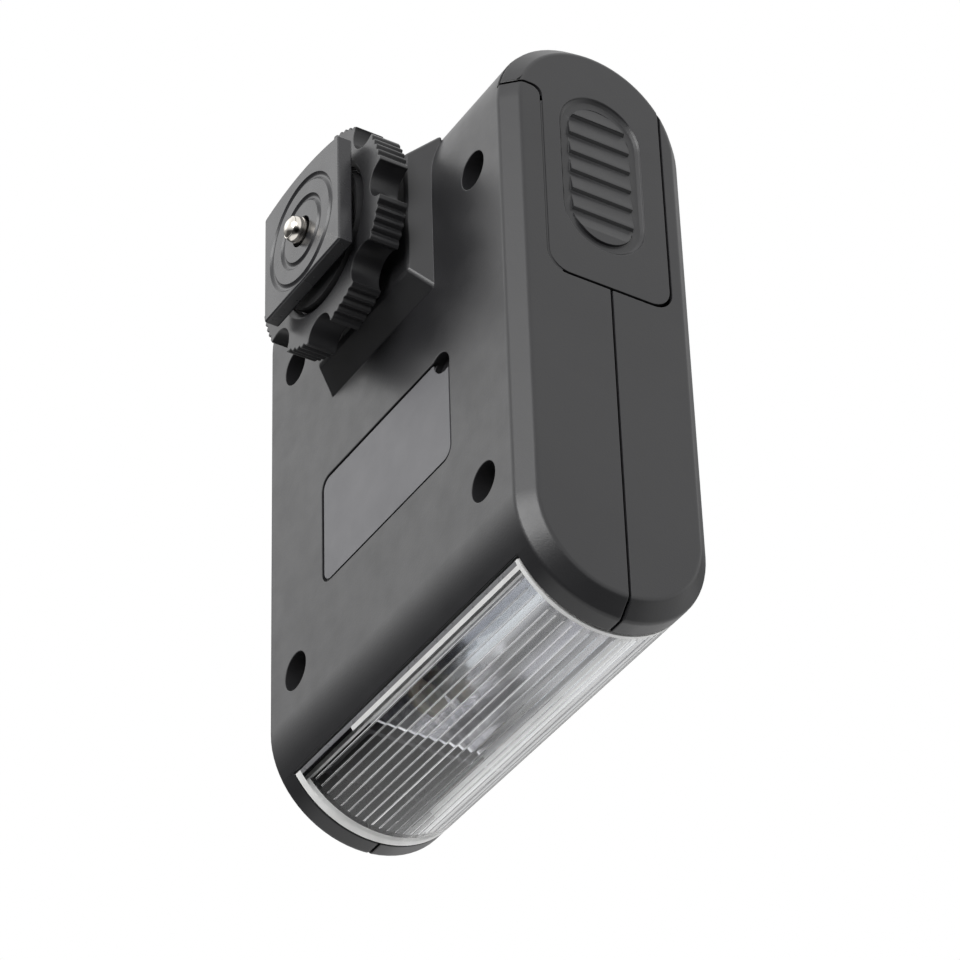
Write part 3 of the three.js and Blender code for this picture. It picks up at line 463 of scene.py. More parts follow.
# ---------- materials ----------
class Look:
    """A node material under construction. Textures are in object space, in metres."""

    def __init__(self, name):
        self.material = bpy.data.materials.new(name)
        self.material.use_nodes = True
        self.tree = self.material.node_tree
        self.shader = self.tree.nodes["Principled BSDF"]
        self.place = self.tree.nodes.new("ShaderNodeTexCoord").outputs["Object"]

    def node(self, kind, **settings):
        made = self.tree.nodes.new(kind)
        for key, value in settings.items():
            setattr(made, key, value)
        return made

    def link(self, source, target):
        self.tree.links.new(source, target)

    def set(self, **values):
        for key, value in values.items():
            self.shader.inputs[key.replace("_", " ")].default_value = value

    def stretched(self, scale):
        mapping = self.node("ShaderNodeMapping")
        mapping.inputs["Scale"].default_value = scale
        self.link(self.place, mapping.inputs["Vector"])
        return mapping.outputs["Vector"]

    def noise(self, scale, detail=3.0, roughness=0.55, stretch=(1, 1, 1)):
        texture = self.node("ShaderNodeTexNoise")
        texture.inputs["Scale"].default_value = scale
        texture.inputs["Detail"].default_value = detail
        texture.inputs["Roughness"].default_value = roughness
        self.link(self.stretched(stretch), texture.inputs["Vector"])
        return texture.outputs["Fac"]

    def ramp(self, source, low, high, places=(0.0, 1.0)):
        """Maps a grey value to a range of grey values or colours."""
        ramp = self.node("ShaderNodeValToRGB")
        for stop, value, place in zip(ramp.color_ramp.elements, (low, high), places):
            stop.color = value if isinstance(value, tuple) else (value, value, value, 1)
            stop.position = place
        self.link(source, ramp.inputs["Fac"])
        return ramp.outputs["Color"]

    def colour(self, low, high, scale, detail=3.0, stretch=(1, 1, 1)):
        source = self.noise(scale, detail, stretch=stretch)
        colours = self.ramp(source, (*low, 1), (*high, 1), (0.35, 0.65))
        self.link(colours, self.shader.inputs["Base Color"])

    def rough(self, low, high, scale, stretch=(1, 1, 1)):
        source = self.noise(scale, 4.0, stretch=stretch)
        self.link(self.ramp(source, low, high, (0.3, 0.7)), self.shader.inputs["Roughness"])

    def bump(self, source, strength, distance):
        made = self.node("ShaderNodeBump")
        made.inputs["Strength"].default_value = strength
        made.inputs["Distance"].default_value = distance
        self.link(source, made.inputs["Height"])
        previous = self.shader.inputs["Normal"]
        if previous.is_linked:
            self.link(previous.links[0].from_socket, made.inputs["Normal"])
        self.link(made.outputs["Normal"], self.shader.inputs["Normal"])


def make_look(name, colour, rough, grain, **settings):
    """A look with its shader's settings, a colour range, a roughness range and a fine relief:
    the noise's arguments, the strength and the depth."""
    look = Look(name)
    look.set(**settings)
    look.colour(*colour)
    look.rough(*rough)
    noise, strength, depth = grain
    look.bump(look.noise(*noise), strength, depth)
    return look


def moulded(name, dark, light, roughness, grain=0.25, specular=0.5):
    """Spark-eroded moulded plastic: a very fine grain, faint colour and gloss changes."""
    rough = (roughness - 0.03, roughness + 0.04, 300)
    relief = ((3800, 2.0), grain, 0.00004)
    look = make_look(name, (dark, light, 45, 2.0), rough, relief, Specular_IOR_Level=specular)
    look.bump(look.noise(60, 1.0), 0.02, 0.0003)
    return look.material


def metal(name, dark, light, roughness, scale=400, bump=0.1):
    rough = (max(0.02, roughness - 0.06), roughness + 0.08, scale)
    relief = ((scale * 3, 3.0), bump, 0.00002)
    return make_look(name, (dark, light, scale / 6), rough, relief, Metallic=1.0).material


def gloss(name, dark, light, roughness, scale=120):
    rough = (roughness - 0.03, roughness + 0.05, scale * 2)
    relief = ((scale * 4, 2.0), 0.08, 0.00003)
    return make_look(name, (dark, light, scale), rough, relief).material


def clear_plastic(name, tint, roughness, ior):
    colour = (tint, tuple(min(1.0, channel * 1.01) for channel in tint), 30)
    rough = (roughness, roughness + 0.015, 120)
    relief = ((500, 2.0), 0.02, 0.00002)
    look = make_look(name, colour, rough, relief, Transmission_Weight=1.0, IOR=ior)
    let_light_in(look)
    return look.material


def let_light_in(look):
    """Diffuse and shadow rays go straight through, so that what is behind the window is lit."""
    rays = look.node("ShaderNodeLightPath")
    either = look.node("ShaderNodeMath", operation="MAXIMUM")
    look.link(rays.outputs["Is Shadow Ray"], either.inputs[0])
    look.link(rays.outputs["Is Diffuse Ray"], either.inputs[1])
    clear = look.node("ShaderNodeBsdfTransparent")
    mix = look.node("ShaderNodeMixShader")
    look.link(either.outputs["Value"], mix.inputs["Fac"])
    look.link(look.shader.outputs["BSDF"], mix.inputs[1])
    look.link(clear.outputs["BSDF"], mix.inputs[2])
    look.link(mix.outputs["Shader"], look.tree.nodes["Material Output"].inputs["Surface"])


CASE_COLOURS = ((0.0165, 0.0165, 0.0178), (0.0195, 0.0195, 0.0208))
ALONG_X = (0.03, 1, 1)


def build_materials():
    """Every material the pieces use, by the record's slot name or the piece it belongs to."""
    return {
        "case": moulded("case_plastic", *CASE_COLOURS, 0.34),
        "door": moulded("door_plastic", *CASE_COLOURS, 0.35),
        "foot": moulded("foot_plastic", (0.020, 0.020, 0.022), (0.026, 0.026, 0.028), 0.26, 0.12),
        "wheel": moulded("wheel_plastic", (0.012, 0.012, 0.013), (0.016, 0.016, 0.017), 0.32),
        "washer": moulded("washer_plastic", (0.018, 0.018, 0.019), (0.024, 0.024, 0.025), 0.40),
        "black_plastic": moulded(
            "black_plastic", (0.012, 0.012, 0.012), (0.018, 0.018, 0.019), 0.42
        ),
        "baffle": moulded(
            "baffle_plastic", (0.016, 0.016, 0.018), (0.024, 0.024, 0.027), 0.5, 0.25, 0.25
        ),
        "label": moulded("label_film", (0.084, 0.084, 0.090), (0.092, 0.092, 0.098), 0.42, 0.08),
        "lens": clear_plastic("lens_plastic", (0.97, 0.98, 0.985), 0.012, 1.42),
        "tube_glass": clear_plastic("tube_glass", (0.96, 0.98, 0.99), 0.0, 1.49),
        "steel": metal("nickel_plate", (0.55, 0.54, 0.52), (0.72, 0.70, 0.67), 0.22),
        "pin": metal("polished_nickel", (0.78, 0.74, 0.68), (0.86, 0.83, 0.78), 0.07, 300, 0.03),
        "brass": metal("brass", (0.62, 0.45, 0.20), (0.74, 0.56, 0.28), 0.24),
        "board": gloss("solder_resist", (0.010, 0.090, 0.030), (0.020, 0.130, 0.045), 0.30, 200),
        "sleeve": gloss("shrink_sleeve", (0.012, 0.013, 0.022), (0.020, 0.021, 0.032), 0.28),
        "ferrite": moulded("ferrite", (0.030, 0.030, 0.032), (0.060, 0.060, 0.062), 0.60, 0.6),
        "tape": gloss("winding_tape", (0.50, 0.32, 0.05), (0.66, 0.45, 0.09), 0.28),
        "cell": metal("cell_jacket", (0.30, 0.32, 0.35), (0.42, 0.44, 0.47), 0.30, 200),
        "red_insulation": gloss("red_insulation", (0.40, 0.012, 0.012), (0.50, 0.025, 0.020), 0.36),
        "rim": make_look(
            "lens_rim", ((0.80, 0.80, 0.79), (0.90, 0.90, 0.89), 400), (0.35, 0.55, 700),
            ((2500, 2.0), 0.3, 0.00005), Transmission_Weight=0.15, IOR=1.49,
        ).material,
        "edge": make_look(
            "lens_edge", ((0.20, 0.20, 0.21), (0.23, 0.23, 0.24), 200, 2.0, (0.2, 1, 1)),
            (0.25, 0.35, 700), ((2500, 2.0), 0.1, 0.00002), Transmission_Weight=0.25, IOR=1.49,
        ).material,
        "reflector": make_look(
            "bright_anodised", ((0.52, 0.52, 0.56), (0.98, 0.97, 0.98), 900, 4.0, ALONG_X),
            (0.10, 0.20, 900, (0.05, 1, 1)), ((1500, 3.0, 0.55, ALONG_X), 0.12, 0.00003),
            Metallic=1.0,
        ).material,
        "silicone": make_look(
            "silicone", ((0.72, 0.66, 0.55), (0.82, 0.77, 0.67), 500), (0.35, 0.5, 600),
            ((1500, 2.0), 0.15, 0.00003), Transmission_Weight=0.35, IOR=1.41,
            Subsurface_Weight=0.2, Subsurface_Scale=0.001,
        ).material,
        "amber": make_look(
            "amber_lamp", ((0.85, 0.28, 0.04), (0.95, 0.38, 0.08), 500), (0.08, 0.16, 500),
            ((900, 2.0), 0.1, 0.00003), Transmission_Weight=0.7, IOR=1.49,
        ).material,
    }


LOOKS = build_materials()


# ---------- case ----------
def end_profile(size, corner, steps=4):
    """(depth from the end face, inset from the side) round a chamfer with softened corners."""
    reach = corner * math.tan(math.radians(22.5))
    side = size + reach
    return [
        (0.0, side),
        *arc(corner, side, corner, 180, 225, steps),
        *arc(side, corner, corner, 225, 270, steps),
    ]


def around_case(radius):
    return stadium(FRONT_Y, BACK_Y, MIDDLE_Z, radius)


def case_hull():
    profile = end_profile(END_BEVEL, 0.9)
    rings = [(-END_X + depth, around_case(ROUND - inset)) for depth, inset in profile]
    rings += [(END_X - depth, around_case(ROUND - inset)) for depth, inset in reversed(profile)]
    return loft(rings)


def door_lips(grow):
    """The lips along the door's long edges, or the grooves they run in."""
    outer = -END_X + 1.1 - grow
    inner = -END_X + DOOR_THICKNESS - 0.3 + grow
    low = BOTTOM_Z + DOOR_LOW
    high = BOTTOM_Z + DOOR_HIGH
    ys = (DOOR_FRONT_Y + 3 - grow, BACK_Y + ROUND + 1)
    reach = DOOR_LIP + grow
    return [
        box((outer, inner), ys, (low - reach, low + 1)),
        box((outer, inner), ys, (high - 1, high + reach)),
    ]


def lens_wedge(half_angle, half_x):
    reach = ROUND * 3
    rise = reach * math.sin(half_angle)
    front = FRONT_Y - reach * math.cos(half_angle)
    outline = [
        (FRONT_Y, MIDDLE_Z),
        (front, MIDDLE_Z + rise),
        (FRONT_Y - reach, MIDDLE_Z),
        (front, MIDDLE_Z - rise),
    ]
    return prism(outline, -half_x, half_x)


def hollow_case():
    cavity = prism(around_case(INNER), CAVITY_LEFT, CAVITY_RIGHT)
    recess = prism(door_outline(GAP / 2), -END_X - 1, -END_X + DOOR_THICKNESS + GAP)
    bay = prism(
        stadium(CELL_YS[0], CELL_YS[1], MIDDLE_Z, CELL_RADIUS + GAP),
        -END_X - 1,
        -END_X + 2 * DOOR_THICKNESS + 1,
    )
    opening = lens_wedge(LENS_HALF_ANGLE, LENS_HIGH.x + GAP)
    return cut(case_hull(), cavity, recess, *door_lips(GAP), bay, opening)


def case_ribs(low, high):
    """The wall and the ribs that cradle the cells, between two heights."""
    inside = prism(around_case(INNER + GAP), -END_X + DOOR_THICKNESS + 1.8, END_X - 2)
    wall_y = DOOR_FRONT_Y + 0.55
    wall = box((-END_X, 21), (wall_y, wall_y + 1.2), (low, high))
    ribs = [box((x, x + 1.5), (wall_y + 0.6, BACK_Y + ROUND), (low, high)) for x in (-14.5, 13)]
    cells = [cylinder(CELL_RADIUS + GAP, -29, 29, y, MIDDLE_Z, "X") for y in CELL_YS]
    lead_notch = box((2, 4.4), (wall_y - 0.4, wall_y + 1.6), (0, FLOOR_Z + 2.6))
    return keep(cut(join(wall, *ribs), *cells, lead_notch), inside)


def pedestal():
    """The tapered block that the foot stands on."""
    foot_y = (FOOT_LOW.y + FOOT_HIGH.y - FOOT_BOW + 0.3) / 2
    top = {"half": 10.9, "front": foot_y - 11, "back": foot_y + 7.6}
    base = {"half": 12.5, "front": foot_y - 13.7, "back": foot_y + 9.9}
    bottom = FLOOR_Z - 0.5
    share = (bottom - PEDESTAL_FACE_Z) / (BOTTOM_Z - PEDESTAL_FACE_Z)
    rings = []
    for z, along in ((PEDESTAL_FACE_Z, 0.0), (bottom, share)):
        half, front, back = (top[k] + (base[k] - top[k]) * along for k in ("half", "front", "back"))
        rings.append((z, [(-half, front), (half, front), (half, back), (-half, back)]))
    block = soften(loft(rings, "Z"), 0.45, 4)
    return cut(block, prism(around_case(INNER + 0.4), -END_X, END_X))


def seam_lips():
    """Thin walls on the lower case that close the seam from inside."""
    ys = (-50, DOOR_FRONT_Y + 0.15)
    tall = (SEAM_Z - 1.5, SEAM_Z + 1.2)
    rooted = (SEAM_Z - 1.5, SEAM_Z - GAP)
    return [
        box((CAVITY_LEFT + GAP, CAVITY_LEFT + 1.2), ys, tall),
        box((CAVITY_LEFT - 0.5, CAVITY_LEFT + 1.1), ys, rooted),
        box((CAVITY_RIGHT - 1.2, CAVITY_RIGHT - GAP), ys, tall),
        box((CAVITY_RIGHT - 1.1, CAVITY_RIGHT + 0.5), ys, rooted),
    ]


def seam_tongues(grow):
    """The tongues in both end walls that keep light out of the seam, or the grooves for them."""
    tongues = []
    for side, back in ((-1, DOOR_FRONT_Y - 2.5), (1, BACK_Y + 9.5)):
        xs = sorted((side * (END_X - 1.5 - grow), side * (END_X - 0.9 + grow)))
        ys = (FRONT_Y - 10.6 - grow, back + grow)
        tongues.append(box(xs, ys, (SEAM_Z - 0.8, SEAM_Z + 0.8 + grow)))
    return tongues


def lower_case(hollow):
    half = keep(hollow, box(ALL_X, ALL_Y, (0, SEAM_Z - GAP / 2)))
    bosses = [cylinder(BOSS_RADIUS, FLOOR_Z - GAP, BOSS_TOP_Z, x, y, "Z", 32) for x, y in SCREWS]
    ribs = case_ribs(FLOOR_Z - GAP, SEAM_Z - GAP / 2)
    half = join(half, pedestal(), ribs, *bosses, *seam_lips(), *seam_tongues(0))
    tools = []
    for x, y in SCREWS:
        tools.append(cylinder(HEAD_RADIUS, 0, HEAD_SEAT_Z + 1.9, x, y, "Z", 40))
        tools.append(cylinder(SHANK_RADIUS, HEAD_SEAT_Z, BOSS_TOP_Z + 1, x, y, "Z", 20))
    outline = rounded_rectangle(LABEL_X, LABEL_Y, LABEL_WIDTH + 0.7, LABEL_HEIGHT + 0.7, 1.8)
    tools.append(prism(outline, BOTTOM_Z - 1, BOTTOM_Z + 0.6, "Z"))
    tools.append(cylinder(2.3, 0, BOTTOM_Z + 1.5, LABEL_LOW.x + 1.9, LABEL_HIGH.y - 1.6, "Z", 32))
    tools.append(cylinder(NECK_RADIUS + GAP, 0, FLOOR_Z + 1, 0, PIN_Y))
    tools.append(cylinder(STEM_RADIUS + GAP, 0, PEDESTAL_FACE_Z + 0.6, 0, PIN_Y))
    return cut(half, *tools)


def control_holes():
    """The slot and the round holes for the switch, the button and the lamp."""
    slot = rounded_rectangle(SWITCH_X, BUTTON_Y, SLOT_X + GAP, SLOT_Y + GAP, 1)
    low, high = CEILING_Z - 1, TOP_Z + 1
    return [
        prism(slot, low, high, "Z"),
        cylinder(BUTTON_RADIUS + GAP, low, high, BUTTON_X, BUTTON_Y),
        cylinder(LAMP_RADIUS + GAP, low, high, LAMP_X, BUTTON_Y, "Z", 32),
    ]


def upper_case(hollow):
    half = keep(hollow, box(ALL_X, ALL_Y, (SEAM_Z + GAP / 2, TOP_Z + 5)))
    half = join(half, case_ribs(SEAM_Z + GAP / 2, CEILING_Z + GAP))
    width, height = PANEL_WIDTH + 2 * GAP, PANEL_HEIGHT + 2 * GAP
    panel = rounded_rectangle(PANEL_X, BUTTON_Y, width, height, 2)
    tools = [prism(panel, TOP_Z - 0.8, TOP_Z + 1, "Z"), *control_holes(), *seam_tongues(0.15)]
    return cut(half, *tools)


def build_case():
    hollow = hollow_case()
    upper = upper_case(copy_of(hollow))
    lower = lower_case(hollow)
    finished(lower, "lower_case", "case", "case", "bottom_shell", 0.15)
    finished(upper, "upper_case", "case", "case", "top_shell", 0.15)


def build_label():
    """A thin plate in its recess, with a curved bite at one corner to lift it out by."""
    outline = rounded_rectangle(LABEL_X, LABEL_Y, LABEL_WIDTH, LABEL_HEIGHT, 1.5)
    plate = prism(outline, LABEL_LOW.z, LABEL_HIGH.z, "Z")
    bite = cylinder(2.7, 0, 30, LABEL_LOW.x + 0.6, LABEL_HIGH.y + 0.3)
    finished(cut(plate, bite), "blank_label", "case", "label", "label_plate", 0.05)


# ---------- battery door ----------
def saw_tooth():
    """The space above the thumb pad: crests at the steps, falling away towards +Y."""
    crest = -END_X + 0.12
    floor = -END_X + GRIP_DEPTH + 0.05
    outline = [(-END_X - 1, GRIP_FRONT_Y - 3), (crest, GRIP_FRONT_Y - 3)]
    outline.append((crest, FIRST_TOOTH_Y - TOOTH_PITCH + 0.6))
    for k in range(TEETH):
        step = FIRST_TOOTH_Y + k * TOOTH_PITCH
        outline.append((floor, step - 0.12))
        outline.append((crest, step + 0.12))
        outline.append((crest + 0.05, step + 0.6))
    outline += [(floor, FIRST_TOOTH_Y + TEETH * TOOTH_PITCH), (floor, GRIP_BACK_Y + 3)]
    outline.append((-END_X - 1, GRIP_BACK_Y + 3))
    return prism(outline, GRIP_Z - 9, GRIP_Z + 9, "Z")


def grip_oval(radius):
    return stadium(GRIP_FRONT_Y + GRIP_RADIUS, GRIP_BACK_Y - GRIP_RADIUS, GRIP_Z, radius, 24)


def build_door():
    inner = -END_X + DOOR_THICKNESS
    plate = prism(door_outline(-GAP / 2), -END_X - 1, inner)
    plate = keep(join(plate, *door_lips(0)), case_hull())
    dish = loft([
        (-END_X - 0.5, grip_oval(GRIP_RADIUS + 0.25)),
        (-END_X, grip_oval(GRIP_RADIUS)),
        (-END_X + 0.3, grip_oval(GRIP_RADIUS - 0.15)),
        (-END_X + GRIP_DEPTH, grip_oval(GRIP_RADIUS - 0.5)),
    ])
    heights = (MIDDLE_Z - 6.3, MIDDLE_Z + 6.3)
    pocket = box((inner - 0.6, inner + 1), (DOOR_FRONT_Y + 3.85, BACK_Y + 8.6), heights)
    pad = prism(grip_oval(GRIP_RADIUS - 1.5), -END_X + 0.1, inner - 1)
    flange = prism(door_outline(0.1), -END_X + 0.14, inner - 0.2)
    ys = (DOOR_FRONT_Y - 1, DOOR_STEP_Y - 2)
    flange = keep(flange, box((ALL_X[0], 0), ys, (0, BOTTOM_Z + DOOR_LOW + 2)))
    door = join(cut(plate, dish, pocket), cut(pad, saw_tooth()), flange)
    finished(door, "sliding_door", "battery_door", "door", "battery_door", 0.1)


# ---------- foot, wheel and pin ----------
def groove(radius, half_width, depth):
    """A ring-shaped cutter with a round bottom."""
    profile = []
    steps = 10
    for i in range(steps + 1):
        away = 1 - 2 * i / steps
        profile.append((radius + away * half_width, depth * math.cos(away * math.pi / 2)))
    profile += [(radius - half_width, -1), (radius + half_width, -1)]
    work = bmesh.new()
    segments = 96
    loops = []
    for i in range(segments):
        angle = 2 * math.pi * i / segments
        along, across = math.cos(angle), math.sin(angle)
        loops.append([work.verts.new((r * along, PIN_Y + r * across, z)) for r, z in profile])
    for i in range(segments):
        band(work, loops[i], loops[(i + 1) % segments])
    return to_object(work)


def foot_plate():
    half = FOOT_HIGH.x
    back = FOOT_HIGH.y - FOOT_BOW
    outline = [(half, FOOT_LOW.y), (half, back)]
    steps = 16
    for i in range(1, steps):
        x = half * (1 - 2 * i / steps)
        outline.append((x, back + FOOT_BOW * (1 - (x / half) ** 2)))
    outline += [(-half, back), (-half, FOOT_LOW.y)]
    return soften(prism(outline, 0, FOOT_THICKNESS, "Z"), 0.28, 3)


def build_foot():
    top = PEDESTAL_FACE_Z + GAP
    root = STEM_RADIUS - 0.4
    profile = [(0, FOOT_THICKNESS - 0.5), (STEM_RADIUS, FOOT_THICKNESS - 0.5)]
    z = FOOT_THICKNESS + 1.2
    while z < top - 1:
        profile += [(STEM_RADIUS, z), (root, z + 0.3), (root, z + 0.5), (STEM_RADIUS, z + 0.8)]
        z += 1
    end = FLOOR_Z + 3.2
    profile += [(STEM_RADIUS, top), (NECK_RADIUS, top), (NECK_RADIUS, end), (0, end)]
    stem = lathe(profile, 0, PIN_Y, "Z", 56)
    flats = []
    for ys in ((PIN_Y + 5.2, PIN_Y + 8), (PIN_Y - 8, PIN_Y - 5.2)):
        flats.append(box((-8, 8), ys, (FOOT_THICKNESS, top)))
    bore = lathe([
        (0, -1), (2.5, -1), (2.0, 0.25), (2.0, 1.3), (1.55, 1.3), (1.55, 2.3),
        (2.2, 2.3), (2.2, 9.8), (1.5, 9.8), (1.5, 30), (0, 30),
    ], 0, PIN_Y)
    grooves = [groove(radius, 0.5, 0.32) for radius in RING_RADII]
    foot = cut(join(foot_plate(), cut(stem, *flats)), bore, *grooves)
    finished(foot, "foot", "case", "foot", "shoe_foot", 0)


def wheel_outline():
    """Scallops with a run of fine round ribs between each pair."""
    points = []
    step = 2 * math.pi / SCALLOPS
    half = 2 * math.asin(SCALLOP_RADIUS / (2 * WHEEL_RADIUS))
    for k in range(SCALLOPS):
        middle = FIRST_SCALLOP + k * step
        x, y = WHEEL_RADIUS * math.cos(middle), WHEEL_RADIUS * math.sin(middle)
        turn = math.degrees(middle - half / 2) - 90
        points += arc(x, y, SCALLOP_RADIUS, turn, turn - 180 + math.degrees(half), 14)
        start = middle + half
        pitch = (step - 2 * half) / WHEEL_RIBS
        fine = 8
        for i in range(WHEEL_RIBS * fine + 1):
            share = i / fine
            crest = (0.5 - 0.5 * math.cos(2 * math.pi * share)) ** 0.6
            edge = min(share, WHEEL_RIBS - share)
            radius = WHEEL_RADIUS - (0.45 * (1 - crest) if edge > 0.45 else 0)
            angle = start + share * pitch
            points.append((radius * math.cos(angle), radius * math.sin(angle)))
    return [(x, PIN_Y + y) for x, y in points]


def build_wheel():
    low, high = WHEEL_LOW.z, WHEEL_HIGH.z
    wheel = prism(wheel_outline(), low, high, "Z")
    recess = lathe([
        (0, low - 1), (10.6, low - 1), (10.6, low - 0.01), (10.3, low + 0.1), (9.6, low + 0.6),
        (9.6, low + 1.75), (0, low + 1.75),
    ], 0, PIN_Y, "Z", 96)
    bore = cylinder(STEM_RADIUS + GAP, 0, 12, 0, PIN_Y)
    finished(cut(wheel, recess, bore), "thumb_wheel", "wheel", "wheel", "lock_wheel", 0.14)


def build_pin():
    head = 1.7
    tip = PIN_TIP_Z
    profile = [(0, tip)]
    steps = 14
    for i in range(1, steps + 1):
        angle = math.pi / 2 * i / steps
        profile.append((head * math.sin(angle), tip + 1.5 * (1 - math.cos(angle))))
        if i == 8:
            radius, z = profile[-1]
            profile.append((radius + 0.03, z + 0.07))
            profile.append((radius + 0.12, z + 0.05))
    profile += [
        (head, -0.62), (head - 0.1, -0.56), (head - 0.1, -0.48), (head, -0.42),
        (head, 0.1), (head - 0.1, 0.2), (1.25, 0.2), (1.25, 2.6), (1.9, 2.6),
        (1.9, PIN_SHOULDER_Z), (1.1, PIN_SHOULDER_Z), (1.1, 7), (0, 7),
    ]
    pin = lathe(profile, 0, PIN_Y, "Z", 56)
    finished(pin, "hot_shoe_pin", "contact_pin", "steel", "contact_pin", 0, "pin")


def build_spring():
    """The pin's return spring, with close-wound ends."""
    seat = 9.3
    radius, wire, turns, around, sides = 1.62, 0.2, 6, 28, 10
    low, high = PIN_SHOULDER_Z + wire + 0.02, seat - wire - 0.02
    closed = 2.1 * wire
    open_pitch = (high - low - 2 * closed) / (turns - 2)
    work = bmesh.new()
    rings = []
    for i in range(turns * around + 1):
        turn = i / around
        z = low + closed * min(turn, 1) + open_pitch * min(max(turn - 1, 0), turns - 2)
        z += closed * max(turn - turns + 1, 0)
        angle = 2 * math.pi * turn
        along, across = math.cos(angle), math.sin(angle)
        ring = []
        for k in range(sides):
            out = radius + wire * math.cos(2 * math.pi * k / sides)
            up = wire * math.sin(2 * math.pi * k / sides)
            ring.append(work.verts.new((out * along, PIN_Y + out * across, z + up)))
        rings.append(ring)
    spring = capped(work, rings)
    finished(spring, "pin_coil", "case", "steel", "pin_spring", 0, merge=False)
    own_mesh(spring)


# ---------- lens, reflector and tube ----------
def on_front_round(radius, angle):
    return FRONT_Y - radius * math.cos(angle), MIDDLE_Z + radius * math.sin(angle)


def lens_section(ribbed):
    """The lens's section, from its low edge round the outside and back along the inside."""
    outer = LENS_EDGE_ANGLE
    steps = 48
    points = [on_front_round(ROUND, -outer + 2 * outer * i / steps) for i in range(steps + 1)]
    inner = ROUND - 1.25
    root = outer - 0.08
    flange = (
        (INNER - GAP, outer), (INNER - GAP, outer + 0.09), (INNER - 1.2, outer + 0.09),
        (INNER - 1.2, root), (inner, root - 0.02),
    )
    points += [on_front_round(radius, angle) for radius, angle in flange]
    pitch = 2 * (root - 0.03) / LENS_RIBS
    rib = ((0.40, 0), (0.44, 0.06), (0.47, 0.10), (0.53, 0.10), (0.56, 0.06), (0.60, 0))
    for i in range(LENS_RIBS):
        for share, height in rib:
            bulge = height if ribbed else 0
            points.append(on_front_round(inner - bulge, root - 0.03 - (i + share) * pitch))
    points += [on_front_round(radius, -angle) for radius, angle in reversed(flange)]
    return points


def build_lens():
    low, high = LENS_LOW.x, LENS_HIGH.x
    margin = 1.9
    plain, ribbed = lens_section(False), lens_section(True)
    lens = loft([
        (low, plain), (low + LENS_END, plain), (low + margin, plain),
        (low + margin + 0.15, ribbed), (MIRROR_HIGH.x, ribbed), (high - margin - 0.15, ribbed),
        (high - margin, plain), (high - FROSTED, plain), (high, plain),
    ])
    finished(lens, "ribbed_lens", "case", "lens", "lens_cover", 0, merge=False)
    lens.data.materials.append(LOOKS["rim"])
    lens.data.materials.append(LOOKS["edge"])
    for face in lens.data.polygons:
        face.material_index = lens_finish(face, low + LENS_END, high - FROSTED)


def lens_finish(face, clear_from, clear_to):
    """0 for the clear window, 1 for the frosted rim, flanges and ends, 2 for the long edges."""
    middle = face.center / MM
    reach = math.hypot(middle.y - FRONT_Y, middle.z - MIDDLE_Z)
    from_edge = LENS_EDGE_ANGLE - abs(math.atan2(middle.z - MIDDLE_Z, FRONT_Y - middle.y))
    outside = reach > ROUND - 0.1
    flange = reach < INNER - 0.4 or (reach < ROUND - 1.4 and from_edge < 0.12)
    flange = flange or (not outside and from_edge < 0.05)
    if abs(face.normal.x) > 0.7 or flange or not clear_from <= middle.x <= clear_to:
        return 1
    if outside and from_edge < 0.045:
        return 2
    return 1 if outside and from_edge < 0.09 and middle.x < MIRROR_HIGH.x else 0


def trough(rise):
    """The reflector's parabola: its place along Y at a height off its axis."""
    return MIRROR_LOW.y + (MIRROR_HALF ** 2 - rise ** 2) / (4 * MIRROR_FOCUS)


def build_reflector():
    random.seed(7)
    steps = 36
    along = 48
    left, right = MIRROR_LOW.x, MIRROR_HIGH.x
    sheet = 0.4
    work = bmesh.new()
    grids = []
    for offset in (0.0, sheet):
        grid = []
        for i in range(along + 1):
            x = left + (right - left) * i / along
            row = []
            for j in range(steps + 1):
                rise = MIRROR_HALF * (1 - 2 * j / steps)
                ripple = 0.035 * math.sin(j * 1.3 + 0.25 * math.sin(x * 0.2))
                y = trough(rise) + offset + (ripple if 0 < j < steps else 0)
                y += random.uniform(-0.002, 0.002)
                outward = rise * (1 + offset / MIRROR_HALF)
                row.append(work.verts.new((x, y, MIDDLE_Z + outward)))
            grid.append(row)
        grids.append(grid)
    for grid in grids:
        for one, two in zip(grid, grid[1:]):
            band(work, one, two, closed=False)
    front, back = grids
    for i in range(along):
        for j in (0, steps):
            work.faces.new((front[i][j], front[i + 1][j], back[i + 1][j], back[i][j]))
    for i in (0, along):
        for j in range(steps):
            work.faces.new((front[i][j], front[i][j + 1], back[i][j + 1], back[i][j]))
    foil = to_object(work)
    inset_half = MIRROR_HALF - 0.2
    rises = [inset_half * (1 - 2 * j / steps) for j in range(steps + 1)]
    outline = [(trough(rise) + 0.2, MIDDLE_Z + rise) for rise in rises]
    ends = [prism(outline, x, x + sheet) for x in (left, right - sheet)]
    lip = 0.3
    for side in (-1, 1):
        heights = sorted((MIDDLE_Z + side * inset_half, MIDDLE_Z + side * 8.6))
        ends.append(box((left, right), (MIRROR_LOW.y + lip, MIRROR_LOW.y + 2 * lip), heights))
    foil = join(foil, *ends)
    places = ((left - 1, left + 3.3), (right - 1.1, right + 1))
    seats = [cylinder(TUBE_HOLE, *xs, TUBE_Y, MIDDLE_Z, "X", 32) for xs in places]
    finished(cut(foil, *seats), "reflector_foil", "case", "reflector", "reflector", 0)


